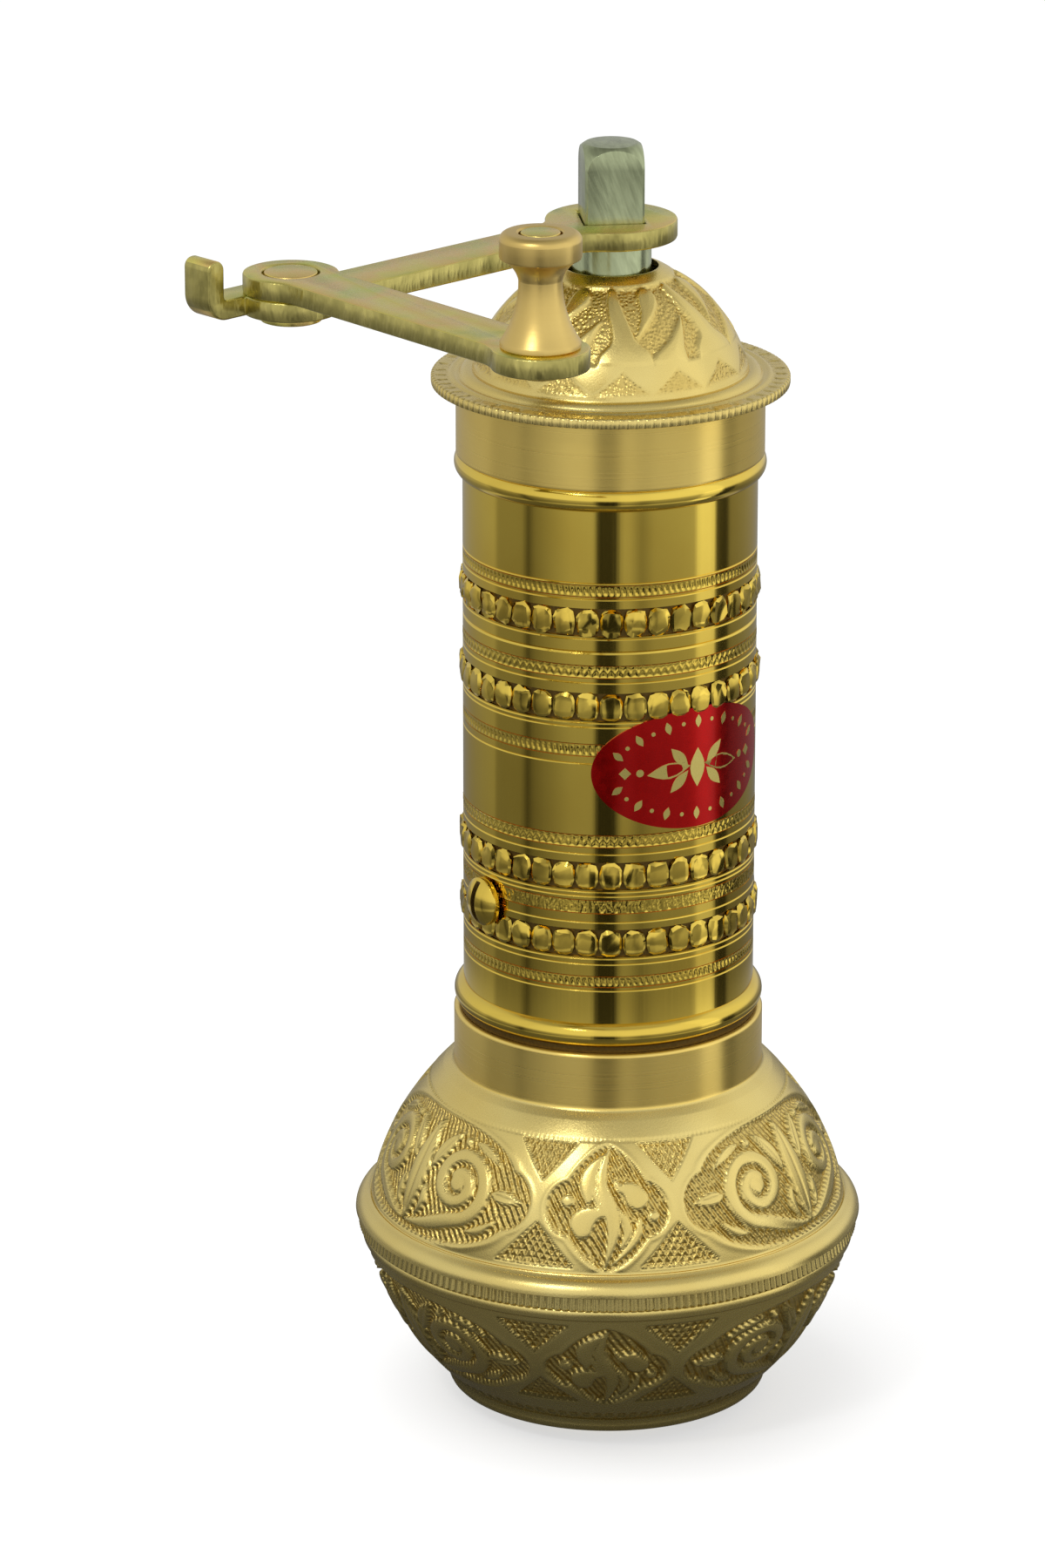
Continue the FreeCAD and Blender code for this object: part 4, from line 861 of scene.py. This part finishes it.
# %% Carving
def carve(piece, stretch, low, high, design):
    """Press a design into a round stretch of a turned piece between two heights."""
    points, angle, away = read_points(piece.data)
    centre, radius = bow_centre(*stretch), stretch[2]
    off_axis, off_up = away - centre[0], points[:, 2] - centre[1]
    on_curve = np.abs(np.hypot(off_axis, off_up) - radius) < 0.02
    on_curve &= (points[:, 2] > low) & (points[:, 2] < high)
    lean = np.arctan2(off_up, off_axis)
    first = math.asin((low - centre[1]) / radius)
    last = math.asin((high - centre[1]) / radius)
    up = (lean[on_curve] - first) / (last - first)
    height, masks = design(angle[on_curve], up)
    chance = np.random.default_rng(11)
    height += masks["ground"] * (chance.random(len(height)) - 0.5) * 0.1
    by = np.zeros(len(points))
    by[on_curve] = height
    push(points, angle, by * np.cos(lean), by * np.sin(lean))
    write_points(piece.data, points)
    for name, values in masks.items():
        spread_out = np.zeros(len(points), np.float32)
        spread_out[on_curve] = values
        piece.data.attributes.new(name, "FLOAT", "POINT").data.foreach_set("value", spread_out)
    print(f"{piece.name}: carved {int(on_curve.sum())} points, deepest {height.min():.2f} mm")


def cup_design(angle, share):
    """The cup's ornament under a thin dotted line."""
    up = share * ORNAMENT_TALL
    height, masks = cup_ornament(angle, up)
    dots = np.exp(-((up - 20.2) / 0.16) ** 2) * (np.sin(np.radians(angle) * 240) > -0.5)
    return height - 0.14 * dots, masks


print("carving helpers: carve, cup_design")

# %% [markdown]
# ## The shoulder of the cup
# The upper casting has a turned collar that the tube slips into, a smooth lip, the carved shoulder and a
# rolled rim. Its outline is close to that of the solid, with small breaks at the edges, and the carved stretch
# is divided finely enough for the leaves.

# %% Shoulder
CUP_STEPS = 840
SHOULDER_CURVE = ((37.0, 34.3), (25.6, 55.0), 41.8)
line = [(36.25, 28.7), (38.4, 28.7), (38.5, 28.8), (38.5, 31.0), (39.2, 31.0)]
line += bow((39.55, 31.2), (37.6, 33.6), 2.6, 9)
line += [(37.32, 33.85), (37.05, 33.8), (36.95, 33.95), (37.08, 34.15)]
line += bow(*SHOULDER_CURVE, 84)
line += [(24.5, 55.62), (24.1, 55.95), (24.0, 56.3), (24.0, 56.6), (24.0, 64.3), (24.0, 64.6)]
line += [(23.7, 64.9), (22.8, 64.9), (22.58, 64.7)]
line += bow((22.58, 55.3), (35.2, 34.2), -40.0, 6) + [(35.2, 31.525), (36.25, 31.525)]
shoulder = finished("shoulder_casting", turn(line, CUP_STEPS), [cast_brass, turned_brass], "receiver",
                    ["receiver_shoulder"], crease=50)
carve(shoulder, SHOULDER_CURVE, 34.6, 52.7, cup_design)
finish_faces(shoulder.data, lambda r, z: (z > 56.0) & (r > 22.9))

# %% [markdown]
# ## The knurled band under the rim
# A wheel has pressed about two hundred upright teeth into the band. A separate narrow ring with four points
# to a tooth keeps the big casting light.

# %% Knurled band
def tooth_of(angle, teeth, steps):
    """Which step of its tooth each point lies on, counted from the groove."""
    return np.round(angle / 360 * teeth * steps).astype(int) % steps


RIM_TEETH, RIM_STEPS = 204, 4
line = [(38.2, 28.72), (38.8, 28.78), (39.1, 29.0), (39.08, 29.2), (38.82, 30.7), (38.8, 31.02)]
line += [(38.2, 31.02)]
rim = turn(line, RIM_TEETH * RIM_STEPS)
knurl = finished("rim_knurl", rim, [cast_brass], "receiver", crease=30)
points, angle, radius = read_points(knurl.data)
groove = (tooth_of(angle, RIM_TEETH, RIM_STEPS) == 0) & (radius > 38.5)
push(points, angle, np.where(groove, -0.58, 0.0), 0)
write_points(knurl.data, points)
print("rim knurl:", RIM_TEETH, "teeth")

# %% [markdown]
# ## The bowl of the cup
# The lower casting carries the same ornament under a plain ridge, then a dashed line, a small bead and the
# foot that the mill stands on.

# %% Bowl
BOWL_CURVE = ((21.3, 2.0), (37.9, 26.8), 42.83)
line = [(0, 0.35), (15.6, 0.35), (16.1, 0), (17.6, 0), (18.0, 0.4), (18.0, 2.0)]
line += bow(*BOWL_CURVE, 90)
line += [(38.2, 26.85), (38.5, 27.2), (38.5, 28.4), (38.2, 28.7), (36.2, 28.7), (36.2, 31.0)]
line += [(36.0, 31.2), (35.1, 31.2), (34.9, 31.0)]
line += bow((34.9, 23.0), (21.25, 4.0), -41.03, 6) + [(0, 4.0)]
bowl = finished("bowl_casting", turn(line, CUP_STEPS, closed=False), [cast_brass], "receiver",
                ["receiver_bowl"], crease=50)


def bowl_design(angle, share):
    """The cup's ornament above a dashed line and a bead, from the foot to the ridge."""
    up = share * 31.2
    height, masks = cup_ornament(angle, (up - 11.2) / 19.4 * ORNAMENT_TALL)
    plain = (up < 11.0) | (up > 30.9)
    for values in (height, *masks.values()):
        values[plain] = 0
    dashes = np.exp(-((up - 6.7) / 0.6) ** 4) * (np.sin(np.radians(angle) * 90) > -0.2)
    bead = np.sqrt(np.clip(1 - ((up - 3.1) / 1.3) ** 2, 0, 1))
    masks["ground"] = np.maximum(masks["ground"], dashes)
    return 1.25 * height - 0.35 * dashes + 1.25 * bead, masks


carve(bowl, BOWL_CURVE, 2.05, 26.75, bowl_design)

# %% [markdown]
# ## The lid
# The lid is a skirt that slips over the tube, a knurled flange with small nicks on its top, a moulding, and a
# dome whose smooth ribs branch round beaten drops.

# %% Lid
LID_TEETH, LID_STEPS = 132, 5
DOME_CURVE = ((20.9, 167.4), (7.2, 183.1), 23.35)
line = [(22.58, 154.3), (22.75, 154.1), (23.3, 154.1), (23.5, 154.3), (23.5, 154.6), (23.5, 164.9)]
line += [(26.9, 164.9), (27.2, 165.05), (27.25, 165.3), (27.25, 166.1), (27.1, 166.35), (26.7, 166.42)]
line += [(r, 166.4) for r in np.linspace(26.2, 24.6, 6)]
line += [(24.4, 166.62), (23.9, 166.7), (23.5, 166.55), (23.1, 166.42)]
line += bow((23.0, 166.45), (20.95, 167.35), 1.6, 8)
line += bow(*DOME_CURVE, 84)
line += [(7.2, 181.1)] + bow((7.2, 181.0), (19.1, 167.4), -21.55, 10) + [(19.1, 164.7), (22.58, 164.7)]
lid = finished("domed_lid", turn(line, LID_TEETH * LID_STEPS), [cast_brass, turned_brass], "lid",
               ["lid"], crease=50)

# %% [markdown]
# ## The ornament of the dome
# Seven times round, a broad rib leans up the dome with a leaf and a forked branch beside it, over a beaten
# ground, and beaten triangles run along the base. The same strokes as on the cup draw them, in degrees round
# the dome and in shares of its height.

# %% Ornament of the dome
DOME_PARTS = 7
DOME_TALL = 21.6
DEGREE = 0.26
dome_strokes = [
    [(0.5, 0.83, 4.0), (2.0, 0.70, 5.2), (6.0, 0.52, 5.4), (7.0, 0.38, 7.0), (7.0, 0.25, 14.0)],
    [(14.5, 0.46, 0.4), (19.0, 0.55, 2.2), (24.5, 0.66, 4.6), (28.0, 0.78, 7.6)],
    [(45.0, 0.58, 0.6), (40.0, 0.49, 2.6), (34.5, 0.38, 4.4), (29.0, 0.25, 9.5)],
]


def dome_design(angle, share):
    """Height and mask of the dome's ornament."""
    part = 360 / DOME_PARTS
    y = share * DOME_TALL
    scaled = [[(a * DEGREE, t * DOME_TALL, wide * DEGREE) for a, t, wide in points]
              for points in dome_strokes]
    shapes = [y - 5.5, 18.9 - y]
    for shift in (-part, 0, part):
        x = (angle % part + shift) * DEGREE
        shapes += [stroke(x, y, points) for points in scaled]
    raised = nearest(*shapes)
    across = ((angle - 5.0 + part / 4) % (part / 2) - part / 4) * 0.33
    triangles = inside_of(wedge(across, y, 1.0, 4.2, 3.6), 1.0)
    sunk = 1 - inside_of(raised, 0.8)
    height = -0.5 * sunk - 0.28 * triangles + 0.12 * np.clip(-raised / 1.6, 0, 1) * (y > 5.5)
    return height, {"ground": np.maximum(sunk, triangles)}


carve(lid, DOME_CURVE, 167.42, 183.08, dome_design)

# %% [markdown]
# ## The lid's flange
# The flange's edge is knurled like the rim of the cup, and a row of short nicks runs round its top. Both are
# pressed into the points of the turned lid, and its skirt gets the turned finish.

# %% Flange of the lid
points, angle, radius = read_points(lid.data)
in_edge = (radius > 26.8) & (points[:, 2] > 164.95) & (points[:, 2] < 166.4)
groove = in_edge & (tooth_of(angle, LID_TEETH, LID_STEPS) == 0)
on_top = (radius > 24.5) & (radius < 26.4) & (points[:, 2] > 166.3)
chance = np.random.default_rng(132)
nick = (np.sin(np.radians(angle) * 52 + 3 * np.sin(np.radians(angle) * 5)) > 0.82) & (radius > 25.0)
by_height = on_top * ((chance.random(len(points)) - 0.5) * 0.07 - 0.16 * nick)
push(points, angle, np.where(groove, -0.38, 0.0), by_height)
write_points(lid.data, points)
finish_faces(lid.data, lambda r, z: (z < 164.8) & (r > 22.9))
print("lid flange:", LID_TEETH, "teeth")

# %% [markdown]
# ## The knob
# The knob is a turned spool. It is spun on the axis and then moved to the crank's end, so that its mesh holds
# its place and its object stays at the origin.

# %% Knob
KNOB_AT = (-9.756, -86.501)
line = [(2.06, 193.5), (5.4, 193.5), (5.7, 193.75), (5.7, 194.3)]
line += bow((5.6, 194.5), (3.1, 203.1), -15.0, 16)
line += bow((3.1, 203.2), (5.7, 206.3), -4.6, 14)
line += [(5.8, 206.6), (5.8, 208.8)] + bow((5.8, 208.9), (4.7, 210.0), 1.2, 7)
line += [(3.4, 210.0), (3.1, 209.75), (3.1, 208.7), (2.06, 208.7)]
bm = turn(line, 72)
bmesh.ops.translate(bm, verts=bm.verts, vec=(KNOB_AT[0] * MM, KNOB_AT[1] * MM, 0))
finished("crank_knob", bm, [satin_brass], "knob", ["knob"])

# %% [markdown]
# ## The crank, the shaft and the screws
# These solids have the right shape, but their edges are perfectly sharp, and real edges catch the light. A
# copy of each mesh has its loose triangles merged and its flat faces joined, and then every edge that turns
# sharply gets a small bevel.

# %% Eased edges
def eased(node, name, width, finish, body):
    """A copy of a solid whose sharp edges are rounded by a width in millimetres."""
    bm = bmesh.new()
    bm.from_mesh(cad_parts[node].data)
    bmesh.ops.remove_doubles(bm, verts=bm.verts, dist=1e-6)
    bmesh.ops.dissolve_limit(bm, angle_limit=math.radians(1), verts=bm.verts, edges=bm.edges)
    sharp = [e for e in bm.edges if len(e.link_faces) == 2 and e.calc_face_angle() > math.radians(30)]
    bmesh.ops.bevel(bm, geom=sharp, offset=width * MM, offset_type="OFFSET", segments=2, profile=0.5,
                    affect="EDGES", material=-1, clamp_overlap=True)
    return finished(name, bm, [finish], body, [node], crease=40)


arms = {"crank_inner_arm": ("inner_arm", "crank_inner"), "crank_outer_arm": ("outer_arm", "crank_outer")}
for node, (name, body) in arms.items():
    arm = eased(node, name, 0.35, zinc_plate, body)
    arm.data.materials.append(sheared_plate)
    for polygon in arm.data.polygons:
        polygon.material_index = int(abs(polygon.normal.z) < 0.5)
eased("elbow_rivet", "elbow_rivet_head", 0.2, zinc_plate, "crank_inner")
eased("knob_pin", "knob_pin_head", 0.2, zinc_plate, "crank_outer")
eased("shaft", "square_shaft", 0.45, bright_steel, "spindle")
screws = eased("bridge_screws", "side_screws", 0.18, polished_brass, "mill")

# %% [markdown]
# ## The slots of the side screws
# A screw's slot gets the same dark finish as the channels, which paints the shade that falls in the slot along
# with its grime. Its walls and its floor are picked out by how deep they lie under the crown of the head, and
# by how far they face along the screw's axis.

# %% Slots of the side screws
SCREW_TURN = math.radians(34.7)
SCREW_AXIS = Vector((math.cos(SCREW_TURN), math.sin(SCREW_TURN), 0))
SLOT_REACH = 3.3
screws.data.materials.append(grime_and_shade_brass)
crown = max(abs(vert.co.dot(SCREW_AXIS)) for vert in screws.data.vertices) / MM
screw_up = sum(vert.co.z for vert in screws.data.vertices) / len(screws.data.vertices)
for polygon in screws.data.polygons:
    along = polygon.center.dot(SCREW_AXIS)
    beside = (polygon.center - SCREW_AXIS * along - Vector((0, 0, screw_up))).length / MM
    depth = crown - abs(along) / MM
    faces_out = abs(polygon.normal.dot(SCREW_AXIS))
    wall = faces_out < 0.3 and depth < 1.3
    floor_face = faces_out > 0.9 and 1.0 < depth < 1.4
    polygon.material_index = int(beside < SLOT_REACH and (wall or floor_face))
print("slots: faces in", len(screws.data.materials), "finishes")

# %% [markdown]
# ## What stays hidden inside
# The burrs, their bridges and the adjusting screw are seen only when the mill is taken apart or turned over.
# Their solids are kept as they are, and each gets the finish of its metal.

# %% Finishes for the kept solids
inside_finishes = {
    burr_iron: ["inner_burr", "outer_burr", "upper_bridge", "lower_bridge"],
    bright_steel: ["burr_pin", "lower_bridge_screws", "adjusting_screw", "lock_nut"],
    turned_brass: ["guide_bush"],
}
for finish, nodes in inside_finishes.items():
    for node in nodes:
        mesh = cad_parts[node].data
        mesh.materials.clear()
        mesh.materials.append(finish)
    print(finish.name, "on", ", ".join(nodes))

# %% [markdown]
# ## Floor and lamps
# The mill stands on a pale floor in front of white. The floor takes its light from two soft lamps overhead,
# so the mill's shadow stays on it, and part of its white comes from a glow that only the camera sees.

# %% Floor
def bare_material(name):
    """A material with an empty node tree, and that tree."""
    material = bpy.data.materials.new(name)
    material.use_nodes = True
    material.node_tree.nodes.clear()
    return material, material.node_tree


def seen_directly(tree):
    """1 for rays from the camera, a mirror or glass, and 0 for those that carry light."""
    ray = place(tree, "ShaderNodeLightPath").outputs
    direct = calc(tree, "MAXIMUM", ray["Is Camera Ray"], ray["Is Glossy Ray"])
    return calc(tree, "MAXIMUM", direct, ray["Is Transmission Ray"])


FLOOR_GLOW = 0.6
pale, tree = bare_material("pale_floor")
matt = place(tree, "ShaderNodeBsdfDiffuse", {"Color": (0.92, 0.92, 0.92, 1)})
glow = place(tree, "ShaderNodeEmission", {"Color": (1, 1, 1, 1), "Strength": 1.0})
share = calc(tree, "MULTIPLY", seen_directly(tree), FLOOR_GLOW)
mixed = place(tree, "ShaderNodeMixShader", {0: share, 1: matt.outputs[0], 2: glow.outputs[0]})
place(tree, "ShaderNodeOutputMaterial", {"Surface": mixed.outputs[0]})
bm = bmesh.new()
bmesh.ops.create_circle(bm, cap_ends=True, segments=96, radius=4.0)
floor = in_scene("floor", mesh_of("floor", bm, [pale]))
print("floor: glow", FLOOR_GLOW)

# %% World
ROOM_LIGHT = 0.95
world = bpy.data.worlds.new("white_room")
world.use_nodes = True
scene.world = world
tree = world.node_tree
backdrop = tree.nodes["Background"]
backdrop.inputs["Color"].default_value = (1, 1, 1, 1)
tree.links.new(spread(tree, seen_directly(tree), ROOM_LIGHT, 1.0), backdrop.inputs["Strength"])
print("world: light", ROOM_LIGHT)


# %% Lamps
def soft_lamp(name, at, aim, size, power):
    """A square area lamp that looks at a point, both in metres."""
    data = bpy.data.lights.new(name, "AREA")
    data.size = size
    data.energy = power
    lamp = in_scene(name, data)
    lamp.location = at
    direction = Vector(aim) - lamp.location
    lamp.rotation_euler = direction.to_track_quat("-Z", "Y").to_euler()
    return lamp


overhead = soft_lamp("overhead", (-0.25, -0.2, 1.1), (0, 0, 0), 0.9, 9.0)
overhead.visible_glossy = False
soft_lamp("sparkle", (-0.30, -0.55, 0.75), (0, 0, 0.1), 0.10, 1.2)
print("lamps:", len(bpy.data.lights))

# %% [markdown]
# ## Cards for the brass to mirror
# Polished metal shows only what stands round it. A photographer sets white and dark cards round such a piece,
# and here a tent of cards does that: a turned sheet that glows in bands by angle and by height, which nothing
# but reflections can see. A bright card stands to the right, narrow dark gaps beside it and at the camera make
# the crisp dark lines. The level follows the sheet outwards: a dark ring near the foot that paints the floor's
# shade round the mill into its reflections, bright walls, dim roof.

# %% Levels of the cards
card_bands = [
    (-180, 0.72), (-140, 0.80), (-100, 0.95), (-96, 0.60), (-71, 0.60), (-65, 0.15), (-60, 0.45), (-29, 1.00),
    (-12, 1.05), (-9.5, 0.08), (4.2, 0.08), (9.5, 1.00), (14, 1.00), (24, 0.55), (34, 0.85), (68, 1.00),
    (72, 2.20), (87, 2.20), (90, 0.10), (102, 0.10), (106, 0.50), (140, 0.65), (180, 0.72),
]
side_levels = [(-180, 0.55), (-90, 0.78), (-30, 0.98), (60, 1.08), (120, 1.02), (180, 0.55)]
# the first levels lie on the sheet's floor; dark near the foot, they paint the shade of the floor round the
# mill
card_levels = [
    (0, 0.06), (25, 0.06), (36, 0.085), (56, 0.14), (80, 0.13), (145, 0.19), (163, 0.54), (197, 0.54),
    (213, 0.27), (231, 0.25), (351, 0.30), (484, 0.41), (533, 0.44), (556, 0.45), (600, 0.45), (640, 0.46),
    (730, 0.53), (790, 0.84), (1000, 0.92), (1600, 0.92), (2150, 0.84), (2400, 0.62), (2500, 0.48),
]
LEVELS_END = 2500
FADE_LOW, FADE_HIGH, FADE_MOST = 0.01, 0.16, 0.9
NEAR_FOOT, FROM_FOOT = 0.07, 0.19
print("cards:", len(card_bands), "bands,", len(card_levels), "levels")


# %% Finish: cards
def grey_ramp(tree, value, stops, start, end):
    """A ramp of greys, whose stops lie between start and end."""
    return ramp_of(tree, value, [((at - start) / (end - start), (grey, grey, grey, 1)) for at, grey in stops])


cards, tree = bare_material("cards")
position = place(tree, "ShaderNodeNewGeometry").outputs["Position"]
spot = place(tree, "ShaderNodeSeparateXYZ", {0: position}).outputs
behind = calc(tree, "MULTIPLY", spot["Y"], -1.0)
around = calc(tree, "ADD", calc(tree, "DIVIDE", calc(tree, "ARCTAN2", spot["X"], behind), math.tau), 0.5)
flat = place(tree, "ShaderNodeCombineXYZ", {0: spot["X"], 1: spot["Y"]}).outputs[0]
away = place(tree, "ShaderNodeVectorMath", {0: flat}, operation="LENGTH").outputs["Value"]
along = calc(tree, "DIVIDE", calc(tree, "MULTIPLY_ADD", spot["Z"], 2.0, away), LEVELS_END * MM)
bands = grey_ramp(tree, around, card_bands, -180, 180)
sides = grey_ramp(tree, around, side_levels, -180, 180)
levels = grey_ramp(tree, along, card_levels, 0, LEVELS_END)
fade = spread(tree, spot["Z"], 0.0, FADE_MOST, FADE_LOW, FADE_HIGH)
near = spread(tree, away, 1.0, 0.0, NEAR_FOOT, FROM_FOOT)
bands = shades(tree, calc(tree, "MAXIMUM", fade, near), bands, sides)
light = shades(tree, 1.0, bands, levels, blend="MULTIPLY")
glow = place(tree, "ShaderNodeEmission", {"Color": light, "Strength": 1.0})
place(tree, "ShaderNodeOutputMaterial", {"Surface": glow.outputs[0]})
cards.cycles.emission_sampling = "NONE"
print("finish:", cards.name)

# %% Tent
TENT_STEPS = 96
sheet = [(18.7, 0.4), (590, 0.4), (600, 10), (600, 900), (420, 1090), (200, 1200), (0, 1250)]
tent = in_scene("card_tent", mesh_of("card_tent", turn(sheet, TENT_STEPS, closed=False), [cards]))
for ray in ("camera", "diffuse", "transmission", "shadow"):
    setattr(tent, "visible_" + ray, False)
print("tent:", len(tent.data.polygons), "faces")

# %% [markdown]
# ## Camera
# The photograph was taken from a little above, with a long lens. The pitch comes from how round the rims
# look, and the lens from how the width of the tube falls off towards its foot.

# %% Camera
CAMERA_AT = (0, -1.0595, 0.4551)
CAMERA_TURN = (math.radians(71.5), 0, math.radians(0.7216))
camera_data = bpy.data.cameras.new("camera")
camera_data.lens = 166.3
camera = in_scene("camera", camera_data)
camera.location = CAMERA_AT
camera.rotation_euler = CAMERA_TURN
scene.camera = camera
print("camera: lens", camera_data.lens, "mm")
